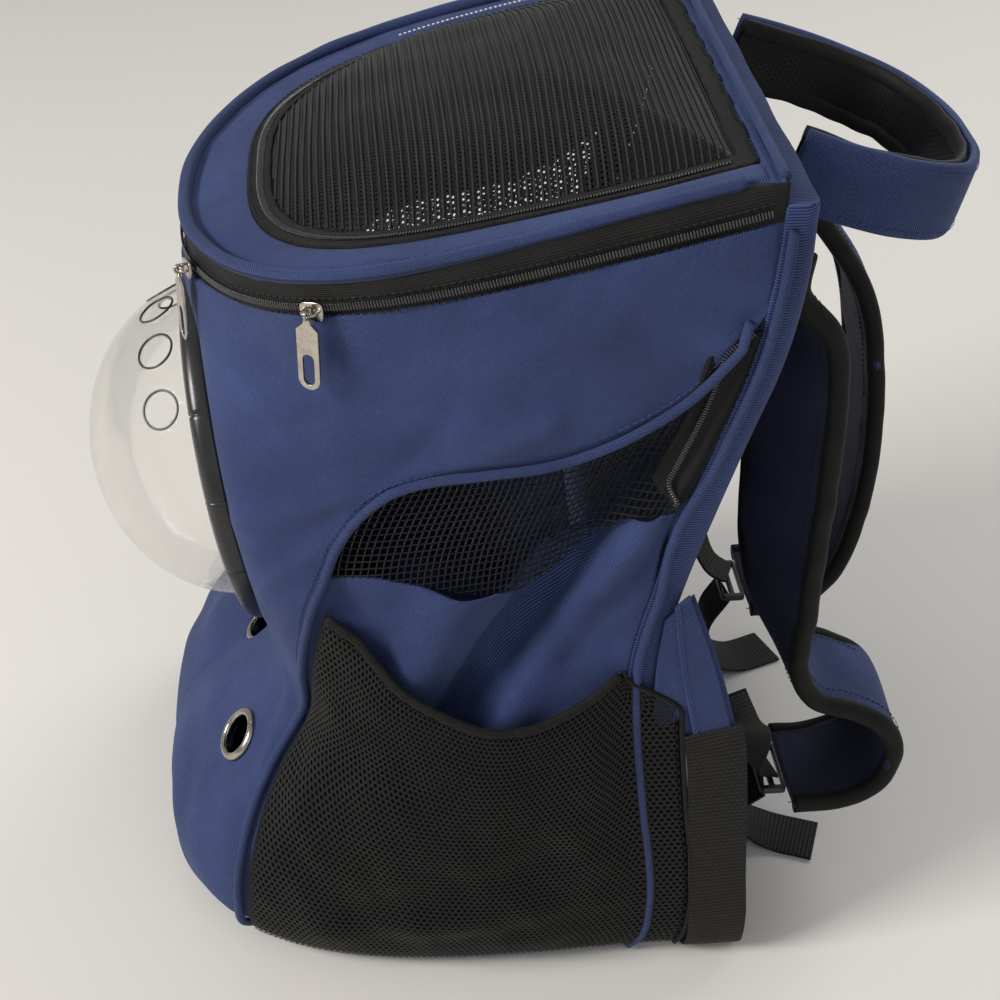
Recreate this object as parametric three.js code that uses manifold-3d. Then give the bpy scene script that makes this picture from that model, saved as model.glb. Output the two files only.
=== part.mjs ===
// A soft pet carrier backpack with a clear bubble window, standing on its base.
// Millimetres. X runs across the bag, Y from the bubble to the shoulder straps, Z up.
// The origin is on the floor under the middle of the bag.
import * as THREE from 'three';
import { mergeVertices } from 'three/addons/utils/BufferGeometryUtils.js';
import Module from 'manifold-3d';

const wasm = await Module();
wasm.setup();

// Driving dimensions of the bag
const BAG_WIDTH = 302;
const BAG_DEPTH = 272;
const BACK_HEIGHT = 442;
const FRONT_HEIGHT = 372;
const CLOTH = 2;
const NET = 1.2;
const POCKET_NET = 1.6;
const SEAM_GAP = 0.4;
const BACK_PAD = 15;
const BACK_PAD_CROWN = 6;
const BASE_THICKNESS = 2.6;

// Seams, piping and binding
const PIPING_RADIUS = 2.3;
const PIPING_LIFT = 1.2;
const LID_PIPING_RADIUS = 3.2;
const BINDING_RADIUS = 2.6;
const PIPING_SIDES = 5;
const COIL_SIDES = 4;

// Bubble window and its ring
const DOME_RADIUS = 84;
const RING_WIDTH = 13;
const RING_RADIUS = DOME_RADIUS + RING_WIDTH;
const RING_HEIGHT = 241;
const RING_TILT = 8.7;
const RING_DEPTH = 12;
const DOME_RISE = 76;
const DOME_WALL = 2.5;
const DOME_FLANGE = 6;
const DOME_FLANGE_THICKNESS = 2.2;
const AIR_HOLE_RADIUS = 9.5;
const RING_FACETS = 24;

// Metal eyelets under the bubble
const EYELET_RADIUS = 14.5;
const EYELET_HOLE = 10;
const EYELET_THICKNESS = 2.6;

// Lid, its net window and the zips
const LID_CLOTH = 2.5;
const LID_CROWN = 7;
const WINDOW_WIDTH = 224;
const WINDOW_LENGTH = 198;
const WINDOW_RISE = 20;
const WINDOW_TAPE = 11;
const HINGE_INSET = 2;
const ZIP_TAPE_HEIGHT = 10;
const ZIP_TAPE_THICKNESS = 1.4;
const COIL_RADIUS = 1.5;
const SLIDER_LENGTH = 10;
const SLIDER_WIDTH = 8;
const SLIDER_HEIGHT = 3.4;
const BRIDGE_WIRE = 1.3;
const BRIDGE_RISE = 4.9;
const PULL_LENGTH = 36;
const PULL_WIDTH = 10.5;
const PULL_THICKNESS = 1.6;
const PULL_EYE = 1.9;
const PULL_EYE_WIRE = 1.4;

// Side pockets
const POCKET_BULGE = 15;

// Straps, handle and webbing
const STRAP_WIDTH = 66;
const STRAP_THICKNESS = 11;
const STRAP_CENTRE = 88;
const HANDLE_WIDTH = 38;
const HANDLE_THICKNESS = 6;
const HANDLE_LINING = 3;
const HANDLE_REACH = 104;
const HANDLE_SPAN = 150;
const WEBBING_WIDTH = 30;
const WEBBING_THICKNESS = 1.8;
const BUCKLE_WALL = 4;
const BUCKLE_DEPTH = 14.4;
const WING_THICKNESS = 3;

const HALF_WIDTH = BAG_WIDTH / 2;
const HALF_DEPTH = BAG_DEPTH / 2;
const RISE = BACK_HEIGHT - FRONT_HEIGHT;

// Level sections of the bag: height as a share of the rim height, front and back as
// shares of half the depth, half width as a share of half the rim width, and the two
// exponents of the rounded front.
const SECTIONS = [
  { height: 0, front: -1.074, back: 0.632, half: 0.98, n: 4, m: 3.2 },
  { height: 0.03, front: -1.176, back: 0.684, half: 1.02, n: 4, m: 3.5 },
  { height: 0.1, front: -1.235, back: 0.713, half: 1.046, n: 4, m: 3.8 },
  { height: 0.17, front: -1.184, back: 0.699, half: 1.046, n: 4, m: 4 },
  { height: 0.24, front: -1.066, back: 0.669, half: 1.033, n: 4, m: 4 },
  { height: 0.3, front: -0.926, back: 0.647, half: 1.02, n: 4, m: 4 },
  { height: 0.375, front: -0.75, back: 0.625, half: 1, n: 4, m: 4 },
  { height: 0.45, front: -0.757, back: 0.618, half: 0.98, n: 4, m: 3.8 },
  { height: 0.56, front: -0.809, back: 0.691, half: 0.967, n: 4, m: 3.5 },
  { height: 0.64, front: -0.846, back: 0.765, half: 0.967, n: 4, m: 3.2 },
  { height: 0.73, front: -0.882, back: 0.853, half: 0.974, n: 4, m: 3 },
  { height: 0.82, front: -0.926, back: 0.941, half: 0.987, n: 4.2, m: 2.7 },
  { height: 0.9, front: -0.956, back: 0.985, half: 0.993, n: 4.4, m: 2.3 },
  { height: 1, front: -1, back: 1, half: 1, n: 4.7, m: 2 },
];

// Creases pressed into the cloth: from and to as shares round the half bag and up it.
const CREASES = [
  { u0: 0.1, v0: 0.7, u1: 0.14, v1: 0.57, depth: 0.04, spread: 0.07 },
  { u0: 0.14, v0: 0.57, u1: 0.2, v1: 0.47, depth: 0.05, spread: 0.08 },
  { u0: 0.2, v0: 0.47, u1: 0.28, v1: 0.34, depth: 0.035, spread: 0.08 },
  { u0: 0.4, v0: 0.87, u1: 0.58, v1: 0.86, depth: 0.008, spread: 0.05 },
  { u0: 0.6, v0: 0.56, u1: 0.5, v1: 0.67, depth: 0.012, spread: 0.05 },
];

// The piped seam between the front wrap and the sides, from the base to the back.
const SEAM = [
  { u: 0.62, v: 0 },
  { u: 0.6, v: 0.06 },
  { u: 0.592, v: 0.14 },
  { u: 0.595, v: 0.215 },
  { u: 0.603, v: 0.285 },
  { u: 0.602, v: 0.36 },
  { u: 0.575, v: 0.44 },
  { u: 0.54, v: 0.51 },
  { u: 0.51, v: 0.57 },
  { u: 0.485, v: 0.625 },
  { u: 0.475, v: 0.67 },
  { u: 0.467, v: 0.712 },
  { u: 0.445, v: 0.742 },
  { u: 0.405, v: 0.754 },
  { u: 0.32, v: 0.754 },
  { u: 0.24, v: 0.752 },
  { u: 0.18, v: 0.759 },
  { u: 0.125, v: 0.774 },
  { u: 0.073, v: 0.8 },
  { u: 0.035, v: 0.836 },
  { u: 0, v: 0.878 },
];
const SEAM_KNEE = 12 / 20;
// Stations along the seam: the net starts at one, the lower side cloth ends before it.
const SEAM_STATIONS = 20;
const KNEE_STATION = 12;
const NET_STATION = 10;

// The lower edge of the side net, from the seam to the back.
const NET_EDGE = [
  { u: 0.5, v: 0.59 },
  { u: 0.43, v: 0.624 },
  { u: 0.38, v: 0.612 },
  { u: 0.29, v: 0.588 },
  { u: 0.215, v: 0.583 },
  { u: 0.16, v: 0.594 },
  { u: 0.12, v: 0.622 },
  { u: 0.07, v: 0.648 },
  { u: 0, v: 0.655 },
];

// The bound top edge of the side pocket, from the seam to the back.
const POCKET_EDGE = [
  { u: 0.5, v: 0.575 },
  { u: 0.47, v: 0.545 },
  { u: 0.43, v: 0.5 },
  { u: 0.37, v: 0.468 },
  { u: 0.285, v: 0.443 },
  { u: 0.2, v: 0.42 },
  { u: 0.135, v: 0.411 },
  { u: 0.07, v: 0.416 },
  { u: 0.03, v: 0.432 },
  { u: 0.008, v: 0.455 },
];

// Air holes of the bubble, in degrees: turn up from level round its axis, and angle away from it.
const AIR_HOLES = [
  { turn: 44, lean: 73 },
  { turn: 67, lean: 73 },
  { turn: 90, lean: 73 },
];

// Where the zip pulls hang, round the half bag from the back.
const PULL_PLACES = { front: 0.82, side: 0.565 };
const EYELET_PLACES = { u: 0.725, v: 0.288, middle: 0.3 };

function finish(name, color, roughness, metalness) {
  const material = new THREE.MeshStandardMaterial({ color, roughness, metalness });
  material.name = name;
  return material;
}
const blueCloth = finish('blue_cloth', 0x33427e, 0.85, 0);
const blackNet = finish('black_net', 0x16181c, 0.9, 0);
const blackWebbing = finish('black_webbing', 0x1b1b1d, 0.85, 0);
const clearPlastic = new THREE.MeshStandardMaterial({
  color: 0xf2f5f5,
  roughness: 0.05,
  metalness: 0,
  transparent: true,
  opacity: 0.3,
});
clearPlastic.name = 'clear_plastic';
const blackPlastic = finish('black_plastic', 0x1a1b1d, 0.45, 0);
const nickel = finish('nickel', 0xc9c6c0, 0.25, 1);

const group = new THREE.Group();
function add(name, geometry, material) {
  geometry.deleteAttribute('uv');
  geometry.deleteAttribute('normal');
  const flat = geometry.index ? geometry.toNonIndexed() : geometry;
  flat.computeVertexNormals();
  const mesh = new THREE.Mesh(flat, material.clone());
  mesh.name = name;
  group.add(mesh);
  return mesh;
}

// Solid joining and cutting
function solid(geometry) {
  const plain = geometry.clone();
  plain.deleteAttribute('uv');
  plain.deleteAttribute('normal');
  const merged = mergeVertices(plain, 1e-3);
  return new wasm.Manifold(new wasm.Mesh({
    numProp: 3,
    vertProperties: merged.attributes.position.array,
    triVerts: new Uint32Array(merged.index.array),
  }));
}
function geometryOf(body) {
  const mesh = body.getMesh();
  const made = new THREE.BufferGeometry();
  made.setAttribute('position', new THREE.BufferAttribute(new Float32Array(mesh.vertProperties), 3));
  made.setIndex(new THREE.BufferAttribute(new Uint32Array(mesh.triVerts), 1));
  return made;
}

// Tables and curves
function smoothStep(from, to, value) {
  const t = THREE.MathUtils.clamp((value - from) / (to - from), 0, 1);
  return t * t * (3 - 2 * t);
}
function slopes(xs, ys) {
  const steps = xs.slice(1).map((x, i) => (ys[i + 1] - ys[i]) / (x - xs[i]));
  return ys.map((y, i) => {
    if (i === 0) return steps[0];
    if (i === ys.length - 1) return steps[steps.length - 1];
    const before = xs[i] - xs[i - 1];
    const after = xs[i + 1] - xs[i];
    return (steps[i - 1] * after + steps[i] * before) / (before + after);
  });
}
const LEVELS = SECTIONS.map((row) => row.height);
const COLUMNS = {};
for (const key of ['front', 'back', 'half', 'n', 'm']) {
  const values = SECTIONS.map((row) => row[key]);
  COLUMNS[key] = { values, slopes: slopes(LEVELS, values) };
}
function sectionValue(key, v) {
  const { values, slopes: rate } = COLUMNS[key];
  let i = 0;
  while (i < LEVELS.length - 2 && LEVELS[i + 1] <= v) i += 1;
  const h = LEVELS[i + 1] - LEVELS[i];
  const s = (v - LEVELS[i]) / h;
  const s2 = s * s;
  const s3 = s2 * s;
  return (2 * s3 - 3 * s2 + 1) * values[i] + (s3 - 2 * s2 + s) * h * rate[i]
    + (3 * s2 - 2 * s3) * values[i + 1] + (s3 - s2) * h * rate[i + 1];
}
function tableCurve(rows) {
  return new THREE.CatmullRomCurve3(rows.map((row) => new THREE.Vector3(row.u, row.v, 0)), false, 'centripetal');
}
const seamCurve = tableCurve(SEAM);
const pocketCurve = tableCurve(POCKET_EDGE);

// The outside of the bag: u goes from the back seam (0) to the front middle (1),
// v from the floor (0) to the rim (1).
function rimHeight(y) {
  return FRONT_HEIGHT + RISE * (y + HALF_DEPTH) / BAG_DEPTH;
}
function backAt(v) {
  return HALF_DEPTH * sectionValue('back', v);
}
function halfAt(v) {
  return HALF_WIDTH * sectionValue('half', v);
}
const CURVE_STEPS = 120;
const sectionCache = new Map();
function sectionCurve(v) {
  const key = Math.round(v * 1e5);
  if (sectionCache.has(key)) return sectionCache.get(key);
  const front = HALF_DEPTH * sectionValue('front', v);
  const back = backAt(v) - BACK_PAD;
  const half = halfAt(v);
  const n = sectionValue('n', v);
  const m = sectionValue('m', v);
  const points = [];
  let run = 0;
  for (let i = 0; i <= CURVE_STEPS; i += 1) {
    const turn = (Math.PI / 2) * i / CURVE_STEPS;
    const x = i === CURVE_STEPS ? 0 : half * Math.cos(turn) ** (2 / m);
    const y = back - (back - front) * Math.sin(turn) ** (2 / n);
    if (i > 0) run += Math.hypot(x - points[i - 1].x, y - points[i - 1].y);
    points.push({ x, y, run });
  }
  sectionCache.set(key, points);
  return points;
}
function along(points, share) {
  const run = THREE.MathUtils.clamp(share, 0, 1) * points[points.length - 1].run;
  let low = 0;
  let high = points.length - 1;
  while (high - low > 1) {
    const middle = (low + high) >> 1;
    if (points[middle].run <= run) low = middle;
    else high = middle;
  }
  const a = points[low];
  const b = points[high];
  const t = (run - a.run) / (b.run - a.run);
  return { x: a.x + (b.x - a.x) * t, y: a.y + (b.y - a.y) * t };
}
const RING_FRONT = HALF_DEPTH * -0.848;
const ringCentre = new THREE.Vector3(0, RING_FRONT, RING_HEIGHT);
const tilt = THREE.MathUtils.degToRad(RING_TILT);
const ringAxis = new THREE.Vector3(0, -Math.cos(tilt), -Math.sin(tilt));
const FLAT_FROM = RING_RADIUS + 1;
const FLAT_TO = RING_RADIUS + 54;

function creaseDepth(u, v) {
  let depth = 0;
  for (const row of CREASES) {
    const du = row.u1 - row.u0;
    const dv = row.v1 - row.v0;
    const t = THREE.MathUtils.clamp(((u - row.u0) * du + (v - row.v0) * dv) / (du * du + dv * dv), 0, 1);
    const away = Math.hypot(u - row.u0 - du * t, v - row.v0 - dv * t) / row.spread;
    depth = Math.max(depth, row.depth * Math.exp(-away * away * 2));
  }
  return depth * BAG_DEPTH;
}
function bodyPoint(u, v, creased = true) {
  const flat = along(sectionCurve(v), u);
  const point = new THREE.Vector3(flat.x, flat.y, v * rimHeight(flat.y));
  const ahead = point.clone().sub(ringCentre).dot(ringAxis);
  const radial = point.clone().addScaledVector(ringAxis, -ahead).distanceTo(ringCentre);
  const hold = 1 - smoothStep(FLAT_FROM, FLAT_TO, radial);
  point.addScaledVector(ringAxis, -ahead * hold);
  if (creased && u < 0.999) point.x -= creaseDepth(u, v) * smoothStep(0, 0.03, u);
  return point;
}
function bodyNormal(u, v, creased = true) {
  const d = 0.004;
  const u0 = Math.max(0, u - d);
  const u1 = Math.min(1, u + d);
  const v0 = Math.max(0, v - d);
  const v1 = Math.min(1, v + d);
  const across = bodyPoint(u1, v, creased).sub(bodyPoint(u0, v, creased));
  const up = bodyPoint(u, v1, creased).sub(bodyPoint(u, v0, creased));
  const normal = new THREE.Vector3().crossVectors(up, across);
  if (u > 0.9999) normal.x = 0;
  return normal.normalize();
}
function offPoint(u, v, out, creased = true) {
  return bodyPoint(u, v, creased).addScaledVector(bodyNormal(u, v, creased), out);
}
function mirror(point) {
  return new THREE.Vector3(-point.x, point.y, point.z);
}

// Closed walls from an outer and an inner grid of points
function triangle(list, a, b, c) {
  const area = new THREE.Vector3().crossVectors(b.clone().sub(a), c.clone().sub(a)).length();
  if (area > 1e-7) list.push(a, b, c);
}
function quad(list, a, b, c, d) {
  if (a.distanceToSquared(c) <= b.distanceToSquared(d)) {
    triangle(list, a, b, c);
    triangle(list, a, c, d);
  } else {
    triangle(list, a, b, d);
    triangle(list, b, c, d);
  }
}
function wallTriangles(outer, inner, { loop = false, skipEnd = () => false } = {}) {
  const list = [];
  const rows = outer.length;
  const columns = outer[0].length;
  const cells = loop ? rows : rows - 1;
  for (let i = 0; i < cells; i += 1) {
    const next = (i + 1) % rows;
    for (let j = 0; j < columns - 1; j += 1) {
      quad(list, outer[i][j], outer[next][j], outer[next][j + 1], outer[i][j + 1]);
      quad(list, inner[i][j + 1], inner[next][j + 1], inner[next][j], inner[i][j]);
    }
    quad(list, inner[i][0], inner[next][0], outer[next][0], outer[i][0]);
    const end = columns - 1;
    if (!skipEnd(i)) quad(list, outer[i][end], outer[next][end], inner[next][end], inner[i][end]);
  }
  if (!loop) {
    const last = rows - 1;
    for (let j = 0; j < columns - 1; j += 1) {
      quad(list, outer[0][j], outer[0][j + 1], inner[0][j + 1], inner[0][j]);
      quad(list, outer[last][j + 1], outer[last][j], inner[last][j], inner[last][j + 1]);
    }
  }
  return list;
}
function geometryFrom(list) {
  const positions = new Float32Array(list.length * 3);
  list.forEach((point, i) => point.toArray(positions, i * 3));
  let volume = 0;
  for (let i = 0; i < list.length; i += 3) {
    volume += list[i].dot(new THREE.Vector3().crossVectors(list[i + 1], list[i + 2]));
  }
  if (volume < 0) {
    for (let i = 0; i < list.length; i += 3) {
      list[i + 1].toArray(positions, (i + 2) * 3);
      list[i + 2].toArray(positions, (i + 1) * 3);
    }
  }
  const made = new THREE.BufferGeometry();
  made.setAttribute('position', new THREE.BufferAttribute(positions, 3));
  return made;
}
function mirrored(list) {
  const turned = [];
  for (let i = 0; i < list.length; i += 3) {
    turned.push(mirror(list[i]), mirror(list[i + 2]), mirror(list[i + 1]));
  }
  return turned;
}
function panel(name, rows, columns, place, thickness, lift, material, creased = true) {
  const outer = [];
  const inner = [];
  for (let i = 0; i <= rows; i += 1) {
    outer.push([]);
    inner.push([]);
    for (let j = 0; j <= columns; j += 1) {
      const { u, v, out = 0 } = place(i / rows, j / columns);
      outer[i].push(offPoint(u, v, lift + out, creased));
      inner[i].push(offPoint(u, v, lift + out - thickness, creased));
    }
  }
  const list = wallTriangles(outer, inner);
  add(`${name}_right`, geometryFrom(list), material);
  add(`${name}_left`, geometryFrom(mirrored(list)), material);
}
function millimetresU(length) {
  return length / (HALF_WIDTH + BAG_DEPTH * 0.9);
}
function millimetresV(length) {
  return length / ((FRONT_HEIGHT + BACK_HEIGHT) / 2);
}

// Tubes and bands along a path
function tube(points, radius, steps, sides = PIPING_SIDES) {
  const path = new THREE.CatmullRomCurve3(points, false, 'centripetal');
  const shape = new THREE.Shape();
  for (let i = 0; i < sides; i += 1) {
    const turn = (2 * Math.PI * i) / sides;
    const x = radius * Math.cos(turn);
    const y = radius * Math.sin(turn);
    if (i === 0) shape.moveTo(x, y);
    else shape.lineTo(x, y);
  }
  return new THREE.ExtrudeGeometry(shape, { steps, bevelEnabled: false, extrudePath: path });
}
function pair(name, geometryRight, material) {
  add(`${name}_right`, geometryRight, material);
  const flat = geometryRight.index ? geometryRight.toNonIndexed() : geometryRight.clone();
  const array = flat.getAttribute('position');
  const list = [];
  for (let i = 0; i < array.count; i += 1) list.push(new THREE.Vector3().fromBufferAttribute(array, i));
  add(`${name}_left`, geometryFrom(mirrored(list)), material);
}
// Rows hold a place and the direction of the band's width there.
function band(rows, width, thickness, steps, roundness = 0.35) {
  const places = new THREE.CatmullRomCurve3(rows.map((row) => row.at), false, 'centripetal');
  const widths = new THREE.CatmullRomCurve3(rows.map((row) => row.across), false, 'centripetal');
  const bevel = roundness * thickness / width;
  const profile = roundness === 0
    ? [[-0.5, -0.5], [-0.5, 0.5], [0.5, 0.5], [0.5, -0.5]]
    : [
      [-0.5, -0.5 + roundness], [-0.5, 0.5 - roundness], [-0.5 + bevel, 0.5], [0.5 - bevel, 0.5],
      [0.5, 0.5 - roundness], [0.5, -0.5 + roundness], [0.5 - bevel, -0.5], [-0.5 + bevel, -0.5],
    ];
  const sections = [];
  for (let i = 0; i <= steps; i += 1) {
    const t = i / steps;
    const at = places.getPoint(t);
    const along3 = places.getTangent(t);
    const across = widths.getPoint(t);
    across.addScaledVector(along3, -across.dot(along3)).normalize();
    const face = new THREE.Vector3().crossVectors(along3, across).normalize();
    sections.push(profile.map(([w, h]) => at.clone()
      .addScaledVector(across, w * width).addScaledVector(face, h * thickness)));
  }
  return loft(sections);
}
function loft(sections) {
  const list = [];
  const count = sections[0].length;
  for (let i = 0; i < sections.length - 1; i += 1) {
    for (let j = 0; j < count; j += 1) {
      const k = (j + 1) % count;
      quad(list, sections[i][j], sections[i][k], sections[i + 1][k], sections[i + 1][j]);
    }
  }
  const ends = [sections[0].slice().reverse(), sections[sections.length - 1]];
  for (const end of ends) {
    for (let j = 1; j < count - 1; j += 1) triangle(list, end[0], end[j], end[j + 1]);
  }
  return geometryFrom(list);
}
function vec(x, y, z) {
  return new THREE.Vector3(x, y, z);
}

function station(index) {
  return index <= KNEE_STATION ? SEAM_KNEE * index / KNEE_STATION
    : SEAM_KNEE + (1 - SEAM_KNEE) * (index - KNEE_STATION) / (SEAM_STATIONS - KNEE_STATION);
}
function seamAt(index) {
  return seamCurve.getPoint(station(index));
}
const zipShare = 1 - ZIP_TAPE_HEIGHT / ((FRONT_HEIGHT + BACK_HEIGHT) / 2);
const toRing = new THREE.Matrix4().makeTranslation(ringCentre.x, ringCentre.y, ringCentre.z)
  .multiply(new THREE.Matrix4().makeRotationFromQuaternion(
    new THREE.Quaternion().setFromUnitVectors(vec(0, 1, 0), ringAxis)));

// Front wrap: one piece of cloth from the base up round the bubble and along both sides
const WRAP_COLUMNS = 6;
function wrapPlace(index, s) {
  const seam = seamAt(index);
  const t = station(index);
  const far = index <= KNEE_STATION
    ? { u: 1, v: zipShare * t / SEAM_KNEE }
    : { u: 1 - (t - SEAM_KNEE) / (1 - SEAM_KNEE), v: zipShare };
  return { u: seam.x + (far.u - seam.x) * s, v: seam.y + (far.v - seam.y) * s };
}
function eyeletPlaces() {
  const middle = { u: 1, v: EYELET_PLACES.middle, side: 1, name: 'middle' };
  const right = { u: EYELET_PLACES.u, v: EYELET_PLACES.v, side: 1, name: 'right' };
  const left = { u: EYELET_PLACES.u, v: EYELET_PLACES.v, side: -1, name: 'left' };
  return [middle, right, left].map(({ u, v, side, name }) => {
    const at = bodyPoint(u, v);
    const normal = bodyNormal(u, v);
    at.x *= side;
    normal.x *= side;
    const turn = new THREE.Quaternion().setFromUnitVectors(vec(0, 1, 0), normal);
    return { name, matrix: new THREE.Matrix4().compose(at, turn, vec(1, 1, 1)) };
  });
}
{
  const outer = [];
  const inner = [];
  for (let i = 0; i <= SEAM_STATIONS; i += 1) {
    const start = wrapPlace(i, 0);
    const end = wrapPlace(i, 1);
    const length = bodyPoint(start.u, start.v).distanceTo(bodyPoint(end.u, end.v));
    const first = SEAM_GAP / Math.max(length, 4 * SEAM_GAP);
    outer.push([]);
    inner.push([]);
    for (let j = 0; j <= WRAP_COLUMNS; j += 1) {
      const { u, v } = wrapPlace(i, first + (1 - first) * j / WRAP_COLUMNS);
      const middle = i <= KNEE_STATION && j === WRAP_COLUMNS;
      const out = offPoint(middle ? 1 : u, v, 0);
      const back = offPoint(middle ? 1 : u, v, -CLOTH);
      if (middle) {
        out.x = 0;
        back.x = 0;
      }
      outer[i].push(out);
      inner[i].push(back);
    }
  }
  const half = wallTriangles(outer, inner, { skipEnd: (i) => i < KNEE_STATION });
  let wrap = solid(geometryFrom([...half, ...mirrored(half)]));
  const boreRadius = DOME_RADIUS - DOME_WALL - CLOTH;
  const bore = new THREE.CylinderGeometry(boreRadius, boreRadius, 5 * RING_DEPTH, RING_FACETS);
  wrap = wrap.subtract(solid(bore.applyMatrix4(toRing)));
  const seatRadius = RING_RADIUS + 2 * SEAM_GAP;
  const seat = new THREE.CylinderGeometry(seatRadius, seatRadius, 2 * RING_DEPTH, RING_FACETS);
  wrap = wrap.subtract(solid(seat.translate(0, RING_DEPTH, 0).applyMatrix4(toRing)));
  for (const at of eyeletPlaces()) {
    const cutRadius = EYELET_RADIUS + 2 * SEAM_GAP;
    const cut = new THREE.CylinderGeometry(cutRadius, cutRadius, 2 * EYELET_RADIUS, 12);
    wrap = wrap.subtract(solid(cut.applyMatrix4(at.matrix)));
  }
  add('front_wrap', geometryOf(wrap), blueCloth);
}

// Side net, lower side cloth and side pocket, the same on both sides
const NET_COLUMNS = SEAM_STATIONS - NET_STATION;
const LOWER_ROWS = NET_STATION - 1;
const netEdgeRows = [{ u: seamAt(LOWER_ROWS).x, v: seamAt(LOWER_ROWS).y }, ...NET_EDGE.slice(1)];
const netCurve = tableCurve(netEdgeRows);
panel('side_net', NET_COLUMNS, 4, (a, b) => {
  const top = seamAt(NET_STATION + Math.round(a * NET_COLUMNS));
  const low = netCurve.getPoint(a);
  const height = bodyPoint(top.x, top.y).distanceTo(bodyPoint(low.x, low.y));
  const edge = SEAM_GAP / height;
  const s = edge + (1 - 2 * edge) * b;
  return {
    u: low.x + (top.x - low.x) * s - millimetresU(1.5 * SEAM_GAP) * (1 - a) ** 4,
    v: low.y + (top.y - low.y) * s,
  };
}, NET, 0, blackNet);

const foot = seamAt(0);
function sidePlace(a, b) {
  const front = seamAt(Math.round(LOWER_ROWS * b));
  const high = netCurve.getPoint(a);
  const start = netCurve.getPoint(0);
  const end = netCurve.getPoint(1);
  const u = (1 - a) * front.x + (1 - b) * foot.x * (1 - a) + b * high.x
    - b * (1 - a) * start.x - (1 - b) * (1 - a) * foot.x;
  const v = (1 - a) * front.y + a * end.y * b + b * high.y - b * (1 - a) * start.y - b * a * end.y;
  return { u: u - millimetresU(SEAM_GAP) * (1 - a), v: v - millimetresV(SEAM_GAP) * b };
}
panel('side_cloth', NET_COLUMNS, LOWER_ROWS, sidePlace, CLOTH, 0, blueCloth);

function seamAtHeight(v) {
  let low = 0;
  let high = SEAM_KNEE;
  for (let i = 0; i < 24; i += 1) {
    const middle = (low + high) / 2;
    if (seamCurve.getPoint(middle).y < v) low = middle;
    else high = middle;
  }
  return seamCurve.getPoint(low).x;
}
const POCKET_FOOT = 0.022;
const POCKET_LIFT = 2.4;
function pocketPlace(a, b) {
  const top = pocketCurve.getPoint(a);
  const v = POCKET_FOOT + (top.y - POCKET_FOOT) * b;
  const front = seamAtHeight(v) - millimetresU(2 * PIPING_RADIUS + POCKET_LIFT);
  const back = millimetresU(2 * PIPING_RADIUS);
  const belly = Math.sin(Math.PI * a) ** 0.8 * Math.sin(Math.PI * (0.04 + b * 0.58));
  return { u: front + (back - front) * a, v, out: POCKET_BULGE * belly };
}
panel('side_pocket', 10, 6, pocketPlace, POCKET_NET, POCKET_NET + POCKET_LIFT, blackNet, false);
for (const [name, side] of [['right', 1], ['left', -1]]) {
  const pocket = group.getObjectByName('side_pocket_' + name);
  const cloth = solid(group.getObjectByName('side_cloth_' + name).geometry);
  const clear = cloth.translate([side * 2 * SEAM_GAP, 0, 0]).add(cloth.translate([side * SEAM_GAP, -2 * SEAM_GAP, 0]));
  pocket.geometry = geometryOf(solid(pocket.geometry).subtract(clear));
}
function pocketRim(a) {
  const { u, v, out } = pocketPlace(a, 1);
  return offPoint(u, v, POCKET_NET + POCKET_LIFT + out, false)
    .add(vec(0, 0, BINDING_RADIUS + 4 * SEAM_GAP));
}
{
  const rim = [];
  for (let i = 0; i <= 11; i += 1) rim.push(pocketRim(0.02 + 0.96 * i / 11));
  pair('pocket_binding', tube(rim, BINDING_RADIUS, 16), blackWebbing);
}

// Piping along the front seam and the back seam
{
  const seamPoints = [];
  for (let i = 0; i <= SEAM_STATIONS; i += 1) {
    const { x, y } = seamAt(i);
    const u = Math.max(x, millimetresU(4 * PIPING_RADIUS));
    seamPoints.push(offPoint(u, Math.max(y, 0.012), PIPING_RADIUS + PIPING_LIFT));
  }
  pair('seam_piping', tube(seamPoints, PIPING_RADIUS, 24), blueCloth);
  const backPoints = [];
  for (let i = 0; i <= 20; i += 1) {
    const v = 0.012 + (zipShare - 0.02) * i / 20;
    backPoints.push(offPoint(0, v, PIPING_RADIUS + SEAM_GAP / 2).add(vec(0, PIPING_RADIUS + 3 * SEAM_GAP, 0)));
  }
  pair('back_piping', tube(backPoints, PIPING_RADIUS, 16), blueCloth);
}

// Back panel: one padded slab with rounded edges
const CROWN_PEAK = 0.8;
function padCrown(v) {
  return BACK_PAD_CROWN * Math.sin(Math.PI * Math.min(v / 0.96, 1)) ** 0.5;
}
{
  const sections = [];
  const levels = 14;
  for (let i = 0; i <= levels; i += 1) {
    const v = i / levels;
    const half = halfAt(v) - 0.5 * SEAM_GAP;
    const back = backAt(v);
    const front = back - BACK_PAD + 2.5 * SEAM_GAP;
    const edge = BACK_PAD * 0.45;
    const crown = padCrown(v);
    const outline = [
      [-half, front], [half, front], [half, back - edge], [half - edge * 0.35, back - edge * 0.3],
      [half - edge, back], [half * 0.6, back + crown * CROWN_PEAK], [0, back + crown * 0.5],
      [-half * 0.6, back + crown * CROWN_PEAK], [-half + edge, back], [-half + edge * 0.35, back - edge * 0.3],
      [-half, back - edge],
    ];
    sections.push(outline.map(([x, y]) => vec(x, y, v * rimHeight(back - BACK_PAD))));
  }
  add('back_panel', loft(sections), blueCloth);
}

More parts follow.
